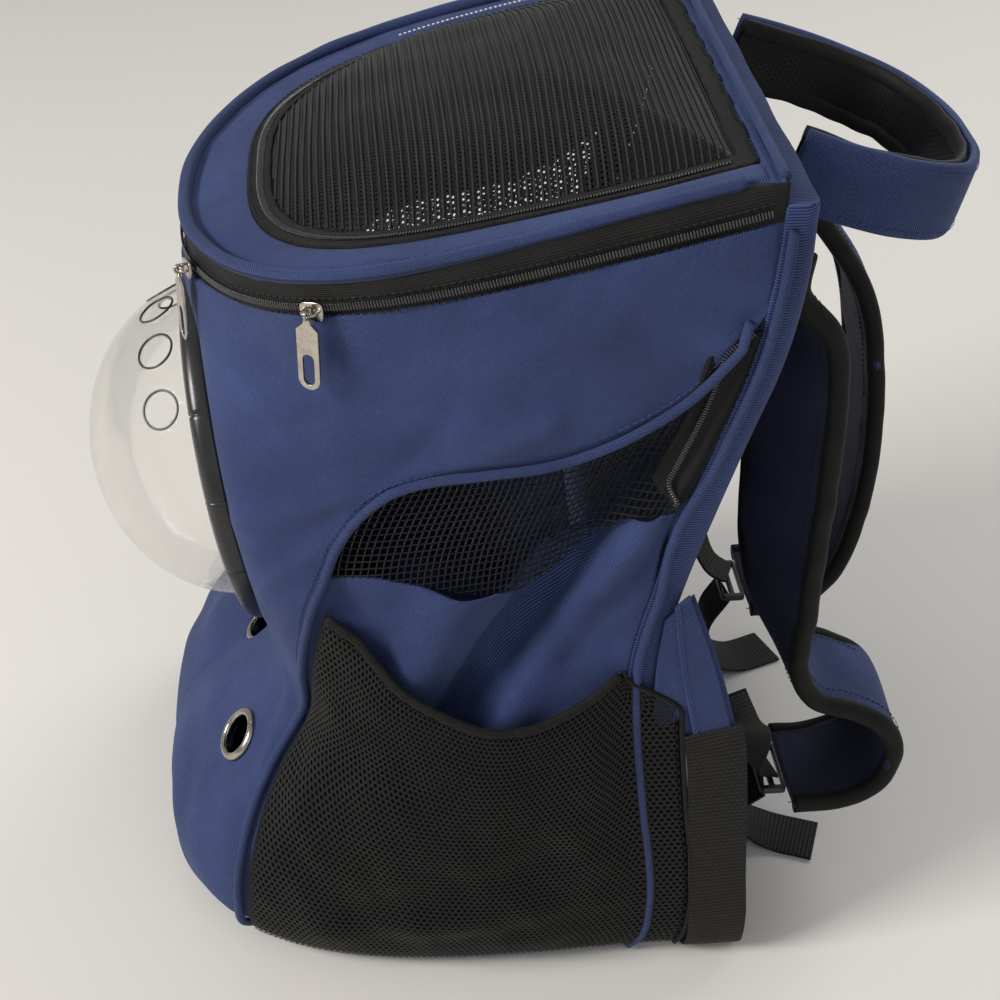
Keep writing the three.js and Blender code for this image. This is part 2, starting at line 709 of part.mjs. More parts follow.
// Base panel
{
  const inset = 2 * CLOTH;
  const base = new THREE.Shape();
  const rim = [];
  for (let i = 0; i <= 16; i += 1) {
    const at = along(sectionCurve(0), i / 16);
    rim.push(at);
  }
  const scaleX = (rim[0].x - inset) / rim[0].x;
  const backY = rim[0].y + 1.5 * SEAM_GAP;
  const frontY = rim[16].y + inset;
  const place = (at) => [at.x * scaleX, backY + (at.y - rim[0].y) * (frontY - backY) / (rim[16].y - rim[0].y)];
  rim.forEach((at, i) => {
    const [x, y] = place(at);
    if (i === 0) base.moveTo(x, y);
    else base.lineTo(x, y);
  });
  rim.slice(0, 16).reverse().forEach((at) => {
    const [x, y] = place(at);
    base.lineTo(-x, y);
  });
  base.closePath();
  add('base_panel', new THREE.ExtrudeGeometry(base, { depth: BASE_THICKNESS, bevelEnabled: false }), blueCloth);
}

// Rim zip: tape and coil round the front and both sides, under the lid
const ZIP_STEPS = 32;
function rimPlace(q) {
  return { u: 1 - Math.abs(q), side: Math.sign(q) || 1 };
}
function rimPoint(q, v, out) {
  const { u, side } = rimPlace(q);
  const at = offPoint(u, v, out);
  if (q === 0) at.x = 0;
  at.x *= side;
  return at;
}
{
  const outer = [];
  const inner = [];
  const low = zipShare + millimetresV(2 * SEAM_GAP);
  for (let i = 0; i <= ZIP_STEPS; i += 1) {
    const q = -1 + 2 * i / ZIP_STEPS;
    outer.push([0, 1].map((s) => rimPoint(q, low + (1 - low) * s, -CLOTH / 4)));
    inner.push([0, 1].map((s) => rimPoint(q, low + (1 - low) * s, -CLOTH / 4 - ZIP_TAPE_THICKNESS)));
  }
  add('rim_zip_tape', geometryFrom(wallTriangles(outer, inner)), blackWebbing);
  const coil = [];
  for (let i = 0; i <= ZIP_STEPS; i += 1) {
    const q = 0.985 * (-1 + 2 * i / ZIP_STEPS);
    coil.push(rimPoint(q, (low + 1) / 2, COIL_RADIUS + SEAM_GAP - CLOTH / 4));
  }
  add('rim_zip_coil', tube(coil, COIL_RADIUS, 40, COIL_SIDES), blackPlastic);
}

// Lid: outline, net window, tape, cloth and piping
const hingeY = HALF_DEPTH - BACK_PAD - HINGE_INSET;
const LID_SIDE_STEPS = 16;
const LID_BACK_STEPS = 4;
function lidOutline(inset, lift) {
  const curve = sectionCurve(1);
  const startShare = (curve[0].y - hingeY) > 0 ? (curve[0].y - hingeY) / curve[curve.length - 1].run : 0;
  const loop = [];
  const flatZ = (y) => rimHeight(y) + lift;
  const near = [];
  for (let i = 0; i <= LID_SIDE_STEPS; i += 1) {
    const share = startShare + (1 - startShare) * i / LID_SIDE_STEPS;
    const at = along(curve, share);
    const normal = bodyNormal(share, 1);
    normal.z = 0;
    normal.normalize();
    const y = Math.min(at.y - normal.y * inset, hingeY - inset);
    near.push(vec(i === LID_SIDE_STEPS ? 0 : at.x - normal.x * inset, y, flatZ(y)));
  }
  loop.push(...near);
  for (let i = LID_SIDE_STEPS - 1; i >= 0; i -= 1) loop.push(mirror(near[i]));
  const from = mirror(near[0]);
  for (let i = 1; i < LID_BACK_STEPS; i += 1) {
    loop.push(from.clone().lerp(near[0], i / LID_BACK_STEPS));
  }
  return loop;
}
const windowBack = hingeY - WINDOW_TAPE - 2;
function windowLoop(offset) {
  const half = WINDOW_WIDTH / 2 + offset;
  const back = windowBack + Math.min(offset, WINDOW_TAPE - 3);
  const front = windowBack - WINDOW_LENGTH - offset;
  const near = [];
  for (let i = 0; i <= LID_SIDE_STEPS; i += 1) {
    const share = i / LID_SIDE_STEPS;
    const turn = (Math.PI / 2) * (0.72 * share + 0.28 * share ** 3);
    const x = i === LID_SIDE_STEPS ? 0 : half * Math.cos(turn) ** (2 / 3);
    const y = back - (back - front) * Math.sin(turn) ** (2 / 4.5);
    near.push(vec(x, y, 0));
  }
  const loop = [...near];
  for (let i = LID_SIDE_STEPS - 1; i >= 0; i -= 1) loop.push(mirror(near[i]));
  const from = mirror(near[0]);
  for (let i = 1; i < LID_BACK_STEPS; i += 1) loop.push(from.clone().lerp(near[0], i / LID_BACK_STEPS));
  return loop;
}
const windowCentre = vec(0, windowBack - WINDOW_LENGTH / 2, 0);
function lidZ(point) {
  const reach = Math.hypot(point.x / HALF_WIDTH, (point.y + 8) / HALF_DEPTH);
  return rimHeight(point.y) + LID_CLOTH + 1 + LID_CROWN * (1 - smoothStep(0.35, 1.05, reach));
}
function raised(point, lift) {
  return vec(point.x, point.y, lidZ(point) + lift);
}
{
  const edge = lidOutline(1, LID_CLOTH + 1);
  const inner = windowLoop(WINDOW_TAPE + SEAM_GAP);
  const columns = 3;
  const top = edge.map((at, i) => Array.from({ length: columns + 1 }, (_, j) => {
    const s = j / columns;
    const point = inner[i].clone().lerp(vec(at.x, at.y, 0), s);
    return vec(point.x, point.y, s === 1 ? at.z : lidZ(point));
  }));
  const under = top.map((row) => row.map((at) => at.clone().add(vec(0, 0, -LID_CLOTH))));
  add('lid_cloth', geometryFrom(wallTriangles(top, under, { loop: true })), blueCloth);

  const tapeOut = windowLoop(WINDOW_TAPE);
  const tapeIn = windowLoop(SEAM_GAP);
  const tapeTop = tapeOut.map((at, i) => [raised(tapeIn[i], 0.3), raised(at, 0.3)]);
  const tapeUnder = tapeTop.map((row) => row.map((at) => at.clone().add(vec(0, 0, -ZIP_TAPE_THICKNESS))));
  add('window_tape', geometryFrom(wallTriangles(tapeTop, tapeUnder, { loop: true })), blackWebbing);

  const netLoop = windowLoop(0);
  const rings = 4;
  const netTop = netLoop.map((at) => Array.from({ length: rings + 1 }, (_, j) => {
    const r = j / rings;
    const point = windowCentre.clone().lerp(at, r);
    return raised(point, WINDOW_RISE * (1 - r ** 2.6) ** 0.8);
  }));
  const netUnder = netTop.map((row) => row.map((at) => at.clone().add(vec(0, 0, -NET))));
  add('window_net', geometryFrom(wallTriangles(netTop, netUnder, { loop: true })), blackNet);

  const coilLoop = windowLoop(WINDOW_TAPE / 2);
  const coilPath = coilLoop.slice(0, 2 * LID_SIDE_STEPS + 1).map((at) => raised(at, COIL_RADIUS + 2 * SEAM_GAP));
  add('window_coil', tube(coilPath, COIL_RADIUS, 40, COIL_SIDES), blackPlastic);

  const pipe = lidOutline(LID_PIPING_RADIUS - 1, 2 * LID_CLOTH + LID_PIPING_RADIUS - SEAM_GAP)
    .slice(0, 2 * LID_SIDE_STEPS + 1);
  add('lid_piping', tube(pipe, LID_PIPING_RADIUS, 40), blueCloth);
}

// Piping of the lid's hinge, across the back
{
  const y = hingeY + HINGE_INSET / 2;
  const reach = halfAt(1) - 2 * PIPING_RADIUS;
  const points = [-1, -0.5, 0, 0.5, 1].map((s) => vec(s * reach, y, rimHeight(y) + 2 * LID_CLOTH + PIPING_RADIUS));
  add('hinge_piping', tube(points, PIPING_RADIUS, 8), blueCloth);
}

// Bubble: a clear dome with air holes, held by a ring
function lathe(rows, segments) {
  const points = rows.map(([r, h]) => new THREE.Vector2(r, h));
  return new THREE.LatheGeometry(points, segments);
}
{
  const arc = (radius, rise, from, to, steps) => {
    const sphere = (radius * radius + rise * rise) / (2 * rise);
    const open = Math.asin(Math.min(radius / sphere, 1));
    const start = rise < radius ? open : Math.PI - open;
    return Array.from({ length: steps + 1 }, (_, i) => {
      const turn = start * (from + (to - from) * i / steps);
      return [Math.max(0, sphere * Math.sin(turn)), rise - sphere + sphere * Math.cos(turn)];
    });
  };
  const outerArc = arc(DOME_RADIUS, DOME_RISE, 0, 1, 5);
  const innerArc = arc(DOME_RADIUS - DOME_WALL, DOME_RISE - DOME_WALL, 1, 0, 5);
  const base = SEAM_GAP;
  const rim = [
    [DOME_RADIUS, base + DOME_FLANGE_THICKNESS],
    [DOME_RADIUS + DOME_FLANGE, base + DOME_FLANGE_THICKNESS],
    [DOME_RADIUS + DOME_FLANGE, base],
    [DOME_RADIUS - DOME_WALL, base],
  ];
  const lifted = (rows) => rows.map(([r, h]) => [r, h + base + DOME_FLANGE_THICKNESS]);
  const profile = [...lifted(outerArc).slice(0, -1), ...rim, ...lifted(innerArc).slice(1)];
  profile[0][0] = 0;
  profile[profile.length - 1][0] = 0;
  let dome = solid(lathe(profile.reverse(), RING_FACETS));
  const centreHeight = base + DOME_FLANGE_THICKNESS;
  for (const side of [1, -1]) {
    for (const hole of AIR_HOLES.filter(({ turn }) => side > 0 || turn < 90)) {
      const turn = THREE.MathUtils.degToRad(-hole.turn);
      const lean = THREE.MathUtils.degToRad(hole.lean);
      const drill = new THREE.CylinderGeometry(AIR_HOLE_RADIUS, AIR_HOLE_RADIUS, DOME_RADIUS, 8);
      drill.translate(0, DOME_RADIUS, 0);
      const away = vec(side * Math.cos(turn) * Math.sin(lean), Math.cos(lean), Math.sin(turn) * Math.sin(lean));
      const matrix = new THREE.Matrix4().compose(vec(0, centreHeight, 0),
        new THREE.Quaternion().setFromUnitVectors(vec(0, 1, 0), away), vec(1, 1, 1));
      dome = dome.subtract(solid(drill.applyMatrix4(matrix)));
    }
  }
  add('bubble_dome', geometryOf(dome).applyMatrix4(toRing), clearPlastic);

  const inside = DOME_RADIUS + SEAM_GAP + 0.3;
  const flange = DOME_RADIUS + DOME_FLANGE + SEAM_GAP;
  const shelf = base + DOME_FLANGE_THICKNESS + SEAM_GAP;
  const ring = [
    [inside, shelf], [flange, shelf], [flange, base], [RING_RADIUS, base], [RING_RADIUS, RING_DEPTH * 0.6],
    [RING_RADIUS - 3, RING_DEPTH * 0.92], [RING_RADIUS - 8, RING_DEPTH], [inside, RING_DEPTH * 0.75],
    [inside, shelf],
  ];
  add('bubble_ring', lathe(ring, RING_FACETS).applyMatrix4(toRing), blackPlastic);
}
// Metal eyelets
for (const at of eyeletPlaces()) {
  const t = EYELET_THICKNESS;
  const rows = [
    [EYELET_HOLE, -CLOTH], [EYELET_RADIUS - 1, -CLOTH], [EYELET_RADIUS, t * 0.3],
    [EYELET_RADIUS - 2, t], [EYELET_HOLE, t * 0.6], [EYELET_HOLE, -CLOTH],
  ];
  add(`eyelet_${at.name}`, lathe(rows, 16).applyMatrix4(at.matrix), nickel);
}

// Zip sliders with their hanging pulls
for (const place of ['side', 'front']) {
  const u = PULL_PLACES[place];
  const v = (zipShare + 1) / 2;
  const at = bodyPoint(u, v);
  const out = bodyNormal(u, v);
  out.z = 0;
  out.normalize();
  const run = vec(-out.y, out.x, 0);
  const up = vec(0, 0, 1);
  const frameAt = (distance) => new THREE.Matrix4().makeBasis(run, up, out)
    .setPosition(at.clone().addScaledVector(out, distance));
  const coilTop = 2 * COIL_RADIUS + 2 * SEAM_GAP - CLOTH / 4;
  const plate = new THREE.Shape();
  plate.moveTo(-SLIDER_LENGTH / 2, -SLIDER_WIDTH * 0.32);
  plate.lineTo(-SLIDER_LENGTH * 0.15, -SLIDER_WIDTH / 2);
  plate.lineTo(SLIDER_LENGTH / 2, -SLIDER_WIDTH / 2);
  plate.lineTo(SLIDER_LENGTH / 2, SLIDER_WIDTH / 2);
  plate.lineTo(-SLIDER_LENGTH * 0.15, SLIDER_WIDTH / 2);
  plate.lineTo(-SLIDER_LENGTH / 2, SLIDER_WIDTH * 0.32);
  plate.closePath();
  const plateBody = solid(new THREE.ExtrudeGeometry(plate, { depth: SLIDER_HEIGHT / 2, bevelEnabled: false })
    .translate(0, 0, coilTop));
  const bridgePath = new THREE.CatmullRomCurve3([
    vec(-SLIDER_LENGTH * 0.34, 0, coilTop + SLIDER_HEIGHT / 4),
    vec(-SLIDER_LENGTH * 0.34, 0, coilTop + BRIDGE_RISE * 0.7),
    vec(-SLIDER_LENGTH * 0.2, 0, coilTop + BRIDGE_RISE),
    vec(SLIDER_LENGTH * 0.2, 0, coilTop + BRIDGE_RISE),
    vec(SLIDER_LENGTH * 0.34, 0, coilTop + BRIDGE_RISE * 0.7),
    vec(SLIDER_LENGTH * 0.34, 0, coilTop + SLIDER_HEIGHT / 4),
  ], false, 'centripetal');
  const wire = new THREE.Shape();
  wire.absarc(0, 0, BRIDGE_WIRE / 2, 0, 2 * Math.PI, false);
  const bridge = solid(new THREE.ExtrudeGeometry(wire, {
    steps: 9, curveSegments: 3, bevelEnabled: false, extrudePath: bridgePath,
  }));
  const slider = geometryOf(plateBody.add(bridge)).applyMatrix4(frameAt(0));
  add(`zip_slider_${place}`, slider, nickel);

  // The pull hangs by a ring round the bridge
  const top = -PULL_EYE;
  const tab = new THREE.Shape();
  tab.moveTo(-PULL_EYE_WIRE, top);
  tab.lineTo(-PULL_EYE_WIRE * 1.4, top - PULL_WIDTH * 0.2);
  tab.lineTo(-PULL_WIDTH / 2, top - PULL_WIDTH * 0.5);
  tab.absarc(0, -PULL_LENGTH + PULL_WIDTH * 0.5, PULL_WIDTH / 2, Math.PI, 2 * Math.PI, false);
  tab.lineTo(PULL_WIDTH / 2, top - PULL_WIDTH * 0.5);
  tab.lineTo(PULL_EYE_WIRE * 1.4, top - PULL_WIDTH * 0.2);
  tab.lineTo(PULL_EYE_WIRE, top);
  tab.closePath();
  const opening = new THREE.Path();
  const w = PULL_WIDTH * 0.26;
  opening.absarc(0, -PULL_LENGTH + PULL_WIDTH * 0.5, w, 2 * Math.PI, Math.PI, true);
  opening.absarc(0, -PULL_LENGTH * 0.6, w, Math.PI, 0, true);
  opening.closePath();
  tab.holes.push(opening);
  const flat = solid(new THREE.ExtrudeGeometry(tab, { depth: PULL_THICKNESS, curveSegments: 5, bevelEnabled: false })
    .translate(0, 0, -PULL_THICKNESS / 2));
  const ring = solid(new THREE.TorusGeometry(PULL_EYE, PULL_EYE_WIRE / 2, 5, 10).rotateY(Math.PI / 2));
  const pull = geometryOf(flat.add(ring));
  add(`zip_pull_${place}`, pull.applyMatrix4(frameAt(coilTop + BRIDGE_RISE)), nickel);
}

// Grab handle: a padded loop with a net lining, sewn to the top of the back panel
function handleRows(inset) {
  const backY = backAt(0.95);
  const z = BACK_HEIGHT - HANDLE_WIDTH * 0.62;
  const span = HANDLE_SPAN / 2 - inset;
  const reach = HANDLE_REACH - inset;
  const droop = 0.32;
  const rows = [
    [span * 0.98, SEAM_GAP + BACK_PAD_CROWN * 1.1], [span * 1.02, reach * 0.3], [span * 0.98, reach * 0.58],
    [span * 0.78, reach * 0.84], [span * 0.42, reach * 0.97], [0, reach],
  ];
  const half = rows.map(([x, y]) => ({ at: vec(x, backY + y, z - y * droop), across: vec(0, 0.25, 1) }));
  return [...half, ...half.slice(0, -1).reverse().map((row) => ({ at: mirror(row.at), across: row.across }))];
}
add('handle', band(handleRows(0), HANDLE_WIDTH, HANDLE_THICKNESS, 20), blueCloth);
const liningInset = (HANDLE_THICKNESS + HANDLE_LINING) / 2 + SEAM_GAP;
add('handle_lining', band(handleRows(liningInset), HANDLE_WIDTH * 0.86, HANDLE_LINING, 20, 0), blackNet);

// Shoulder straps: padded, sewn to the back near the top, the right one twisted outwards
const shoulder = (x, y, z) => vec(x, HALF_DEPTH * y, BACK_HEIGHT * z);
function strapSeat(z) {
  return (backAt(z) + padCrown(z) * CROWN_PEAK + STRAP_THICKNESS / 2 + 4 * SEAM_GAP) / HALF_DEPTH;
}
const rightStrap = [
  { at: shoulder(0.9, strapSeat(0.88), 0.88), across: vec(1, 0, 0) },
  { at: shoulder(0.91, strapSeat(0.84), 0.84), across: vec(1, 0.05, 0) },
  { at: shoulder(0.93, 1.12, 0.78), across: vec(0.95, 0.3, 0) },
  { at: shoulder(0.96, 1.13, 0.68), across: vec(0.9, 0.42, 0) },
  { at: shoulder(0.96, 1.13, 0.56), across: vec(0.9, 0.42, 0) },
  { at: shoulder(0.95, 1.14, 0.44), across: vec(0.94, 0.33, 0) },
  { at: shoulder(0.9, 1.19, 0.345), across: vec(1, 0.1, 0) },
  { at: shoulder(0.86, 1.31, 0.29), across: vec(1, 0, 0) },
  { at: shoulder(0.84, 1.47, 0.268), across: vec(1, 0, 0) },
  { at: shoulder(0.84, 1.6, 0.24), across: vec(1, 0, 0) },
  { at: shoulder(0.84, 1.655, 0.195), across: vec(1, 0, 0) },
  { at: shoulder(0.85, 1.6, 0.15), across: vec(1, 0, 0) },
  { at: shoulder(0.865, 1.45, 0.1265), across: vec(1, 0, 0) },
  { at: shoulder(0.87, 1.27, 0.125), across: vec(1, 0, 0) },
].map(({ at, across }) => ({ at: vec(at.x * STRAP_CENTRE, at.y, at.z), across }));
const leftStrap = [
  { at: shoulder(-0.9, strapSeat(0.88), 0.88), across: vec(1, 0, 0) },
  { at: shoulder(-0.92, strapSeat(0.85), 0.85), across: vec(1, 0, 0) },
  { at: shoulder(-0.95, 1.25, 0.8), across: vec(1, 0, 0) },
  { at: shoulder(-1, 1.48, 0.72), across: vec(1, 0, 0) },
  { at: shoulder(-1, 1.67, 0.63), across: vec(1, 0, 0) },
  { at: shoulder(-1, 1.76, 0.52), across: vec(1, 0, 0) },
  { at: shoulder(-1, 1.79, 0.41), across: vec(1, 0, 0) },
  { at: shoulder(-1, 1.78, 0.3), across: vec(1, 0, 0) },
  { at: shoulder(-1, 1.7, 0.2), across: vec(1, 0, 0) },
  { at: shoulder(-1, 1.54, 0.145), across: vec(1, 0, 0) },
  { at: shoulder(-1, 1.34, 0.14), across: vec(1, 0, 0) },
].map(({ at, across }) => ({ at: vec(at.x * STRAP_CENTRE, at.y, at.z), across }));
add('shoulder_strap_right', band(rightStrap, STRAP_WIDTH, STRAP_THICKNESS, 28), blueCloth);
add('shoulder_strap_left', band(leftStrap, STRAP_WIDTH, STRAP_THICKNESS, 20), blueCloth);

// Wings of cloth at the lower back corners, with the webbing that they carry
function wingPlace(side, y, z) {
  const x = halfAt(z) - 2 * SEAM_GAP + WING_THICKNESS / 2;
  return vec(side * x, HALF_DEPTH * y, BACK_HEIGHT * z);
}
const WING_FOOT = 0.325;
const WEBBING_CENTRE = 0.835;
for (const [name, side] of [['right', 1], ['left', -1]]) {
  const place = (y, z) => wingPlace(side, y, z);
  const low = [[0.61, WING_FOOT], [0.78, WING_FOOT], [0.93, WING_FOOT]];
  const mid = [[0.6, 0.42], [0.71, 0.43], [0.83, 0.435]];
  const top = [[0.62, 0.5], [0.67, 0.515], [0.72, 0.53]];
  const grid = [low, mid, top].map((row) => row.map(([y, z]) => place(y, z)));
  const half = WING_THICKNESS / 2;
  const outer = grid.map((row) => row.map((p) => p.clone().add(vec(side * half, 0, 0))));
  const inner = grid.map((row) => row.map((p) => p.clone().add(vec(-side * half, 0, 0))));
  add(`wing_${name}`, geometryFrom(wallTriangles(outer, inner)), blueCloth);

  // Corner webbing: down from the wing, round near the floor and back in
  const outside = SEAM_GAP + WING_THICKNESS / 2 + WEBBING_THICKNESS / 2;
  const wx = Math.abs(place(WEBBING_CENTRE, WING_FOOT).x) + outside;
  const flat = vec(0, 1, 0);
  const low0 = WEBBING_THICKNESS * 0.5 / BACK_HEIGHT + 0.0006;
  const down = [
    [wx - 1, WEBBING_CENTRE - 0.02, WING_FOOT + 0.03, flat], [wx, WEBBING_CENTRE, WING_FOOT, flat],
    [wx + 3.5, WEBBING_CENTRE + 0.02, 0.25, flat], [wx + 6, WEBBING_CENTRE + 0.04, 0.15, flat],
    [wx + 7, WEBBING_CENTRE + 0.06, 0.07, flat], [wx + 3, WEBBING_CENTRE + 0.06, 0.024, flat],
    [wx - 5, WEBBING_CENTRE + 0.055, low0 + 0.004, flat], [wx - 16, WEBBING_CENTRE + 0.05, low0, flat],
    [wx - 34, WEBBING_CENTRE + 0.05, low0, flat],
  ].map(([x, y, z, across]) => ({ at: vec(side * x, HALF_DEPTH * y, BACK_HEIGHT * z), across }));
  add(`corner_webbing_${name}`, band(down, WEBBING_WIDTH, WEBBING_THICKNESS, 20, 0), blackWebbing);

  // Buckle at the strap's lower end, and the webbing from it to the wing
  const end = side > 0 ? rightStrap[rightStrap.length - 1].at : leftStrap[leftStrap.length - 1].at;
  const buckleY = end.y - BUCKLE_DEPTH / 2 - 3.4 * SEAM_GAP;
  const frame = new THREE.BoxGeometry(WEBBING_WIDTH + 2 * BUCKLE_WALL, BUCKLE_DEPTH, BUCKLE_WALL);
  const slot = new THREE.BoxGeometry(WEBBING_WIDTH + 1, BUCKLE_WALL * 1.1, 2 * BUCKLE_WALL);
  const body = solid(frame)
    .subtract(solid(slot.clone().translate(0, BUCKLE_WALL * 0.85, 0)))
    .subtract(solid(slot.clone().translate(0, -BUCKLE_WALL * 0.85, 0)));
  add(`strap_buckle_${name}`, geometryOf(body).translate(end.x, buckleY, end.z), blackPlastic);

  const wingEnd = place(0.9, WING_FOOT + 0.03);
  const inside = wingEnd.clone().add(vec(-side * (WING_THICKNESS + WEBBING_THICKNESS), 0, 0));
  const tie = [
    { at: vec(end.x, buckleY, end.z + BUCKLE_WALL * 0.5 + WEBBING_THICKNESS + 3 * SEAM_GAP), across: vec(1, 0, 0) },
    { at: vec(end.x + side * 6, buckleY - 12, end.z + 12), across: vec(0.95, side * 0.3, 0) },
    { at: inside.clone().lerp(vec(end.x, buckleY, end.z + 14), 0.4), across: vec(0.6, side * 0.8, 0.4) },
    { at: inside, across: vec(0, 1, 0) },
    { at: inside.clone().add(vec(0, -6, 14)), across: vec(0, 1, 0.3) },
  ];
  add(`strap_webbing_${name}`, band(tie, WEBBING_WIDTH * 0.8, WEBBING_THICKNESS, 12, 0), blackWebbing);
  const tail = [
    { at: vec(end.x, buckleY - 2, end.z - BUCKLE_WALL * 0.5 - WEBBING_THICKNESS - 3 * SEAM_GAP), across: vec(1, 0, 0) },
    { at: vec(end.x - side * 4, buckleY - 14, end.z * 0.6), across: vec(1, 0, 0) },
    { at: vec(end.x - side * 8, buckleY - 10, end.z * 0.22), across: vec(1, 0, 0) },
    { at: vec(end.x - side * 4, buckleY + 6, WEBBING_THICKNESS * 1.6), across: vec(1, side * -0.2, 0) },
    { at: vec(end.x + side * 6, buckleY + 32, WEBBING_THICKNESS * 0.8), across: vec(1, side * -0.4, 0) },
  ];
  add(`webbing_tail_${name}`, band(tail, WEBBING_WIDTH, WEBBING_THICKNESS, 16, 0), blackWebbing);
}

export default group;
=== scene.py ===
# %% [markdown]
# # A bubble pet carrier backpack, dressed
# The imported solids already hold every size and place. Here each soft solid gets the piece of cloth, net or
# webbing that it stands for, and each hard one a smooth shape and a real finish. All lengths are metres.

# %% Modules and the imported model
import math

import bmesh
import bpy
import numpy as np
from mathutils import Matrix, Vector


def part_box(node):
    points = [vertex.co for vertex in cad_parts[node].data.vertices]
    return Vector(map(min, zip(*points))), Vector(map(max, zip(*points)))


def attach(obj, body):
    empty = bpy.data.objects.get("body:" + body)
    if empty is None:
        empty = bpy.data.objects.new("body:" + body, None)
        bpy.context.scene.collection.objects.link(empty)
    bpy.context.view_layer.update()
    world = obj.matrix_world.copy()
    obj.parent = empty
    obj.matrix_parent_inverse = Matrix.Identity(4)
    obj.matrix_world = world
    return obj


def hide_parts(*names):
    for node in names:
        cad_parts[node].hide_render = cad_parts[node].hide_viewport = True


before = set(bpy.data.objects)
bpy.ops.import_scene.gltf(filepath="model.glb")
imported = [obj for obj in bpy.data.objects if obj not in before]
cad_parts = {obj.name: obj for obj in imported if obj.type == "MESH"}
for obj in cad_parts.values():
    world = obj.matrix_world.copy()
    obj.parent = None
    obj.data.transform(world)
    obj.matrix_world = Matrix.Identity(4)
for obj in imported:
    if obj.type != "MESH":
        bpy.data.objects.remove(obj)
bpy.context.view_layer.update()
MM = 0.001
print("CAD nodes:", len(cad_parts))

# %% [markdown]
# ## Camera
# The photo looks down on the bag's near side. A camera is set by a point to look at, a distance, two angles and
# a small roll. The matrix is built from the three directions, so nothing depends on a helper's idea of up.

# %% Camera
def placed(name, data):
    """A new object in the scene."""
    made = bpy.data.objects.new(name, data)
    bpy.context.collection.objects.link(made)
    return made


AZIMUTH, ELEVATION, ROLL = (math.radians(a) for a in (84.5, 34.5, 0.8))
LOOK_AT = Vector((0, 0.0198, 0.1914))
DISTANCE = 0.9833
SENSOR = 36.0
FOCAL_SHARE = 1.804
back = Vector((math.sin(AZIMUTH) * math.cos(ELEVATION), -math.cos(AZIMUTH) * math.cos(ELEVATION),
               math.sin(ELEVATION)))
level = Vector((math.cos(AZIMUTH), math.sin(AZIMUTH), 0))
upward = back.cross(level)
right = level * math.cos(ROLL) + upward * math.sin(ROLL)
above = upward * math.cos(ROLL) - level * math.sin(ROLL)
lens = bpy.data.cameras.new("camera")
lens.sensor_width = SENSOR
lens.lens = FOCAL_SHARE * SENSOR
camera = placed("camera", lens)
spot = LOOK_AT + back * DISTANCE
camera.matrix_world = Matrix([(right[i], above[i], back[i], spot[i]) for i in range(3)] + [(0, 0, 0, 1)])
bpy.context.scene.camera = camera
print("lens mm:", round(lens.lens, 1))

# %% [markdown]
# ## Floor and light
# A plain pale floor and three large soft lamps: a key from the upper front, a fill from the camera's side and a
# rim from behind the straps. Large lamps give the cloth its slow shading and the clear dome its long highlights.

# %% Floor and lamps
def plain_material(name, color, roughness):
    made = bpy.data.materials.new(name)
    made.use_nodes = True
    shader = made.node_tree.nodes["Principled BSDF"]
    shader.inputs["Base Color"].default_value = (*color, 1)
    shader.inputs["Roughness"].default_value = roughness
    return made


floor_mesh = bpy.data.meshes.new("floor")
FLOOR_REACH = 6.0
corners = [(-1, -1), (1, -1), (1, 1), (-1, 1)]
floor_mesh.from_pydata([(FLOOR_REACH * x, FLOOR_REACH * y, 0) for x, y in corners], [], [(0, 1, 2, 3)])
floor = placed("floor", floor_mesh)
floor_mesh.materials.append(plain_material("pale_floor", (0.74, 0.72, 0.685), 0.55))


def lamp(name, place, size, power, color=(1, 1, 1)):
    data = bpy.data.lights.new(name, "AREA")
    data.size = size
    data.energy = power
    data.color = color
    made = placed(name, data)
    made.location = place
    made.rotation_euler = (Vector((0, 0, 0.2)) - Vector(place)).to_track_quat("-Z", "Y").to_euler()


lamp("key", (0.75, -1.9, 1.55), 0.8, 52, (1.0, 0.975, 0.94))
lamp("fill", (2.0, 0.6, 1.1), 1.8, 5, (0.95, 0.97, 1.0))
lamp("rim", (-1.2, 1.5, 1.6), 1.2, 16)
world = bpy.data.worlds.new("room")
world.use_nodes = True
world.node_tree.nodes["Background"].inputs["Color"].default_value = (0.93, 0.92, 0.9, 1)
world.node_tree.nodes["Background"].inputs["Strength"].default_value = 0.44
bpy.context.scene.world = world
bpy.context.scene.view_settings.view_transform = "Standard"

# %% [markdown]
# ## The bag's own surface
# Every cloth panel lies on one surface, so that surface is a function: `u` runs from the back seam (0) to the
# middle of the front (1), `v` from the floor (0) to the rim (1). It comes from the same table of level sections
# as the solids, pressed flat round the bubble's ring and folded in along a few creases. It is worked out once on
# a fine grid, and every panel then reads from the grid.

# %% Named sizes of the bag
BAG_WIDTH, BAG_DEPTH = 302 * MM, 272 * MM
BACK_HEIGHT, FRONT_HEIGHT = 442 * MM, 372 * MM
HALF_WIDTH, HALF_DEPTH = BAG_WIDTH / 2, BAG_DEPTH / 2
BACK_PAD = 15 * MM
CLOTH = 2 * MM
ZIP_TAPE_HEIGHT = 10 * MM
RING_RADIUS = 97 * MM
RING_TILT = math.radians(8.7)
RING_CENTRE = np.array([0, -0.848 * HALF_DEPTH, 241 * MM])
RING_AXIS = np.array([0, -math.cos(RING_TILT), -math.sin(RING_TILT)])
ZIP_SHARE = 1 - ZIP_TAPE_HEIGHT / ((FRONT_HEIGHT + BACK_HEIGHT) / 2)
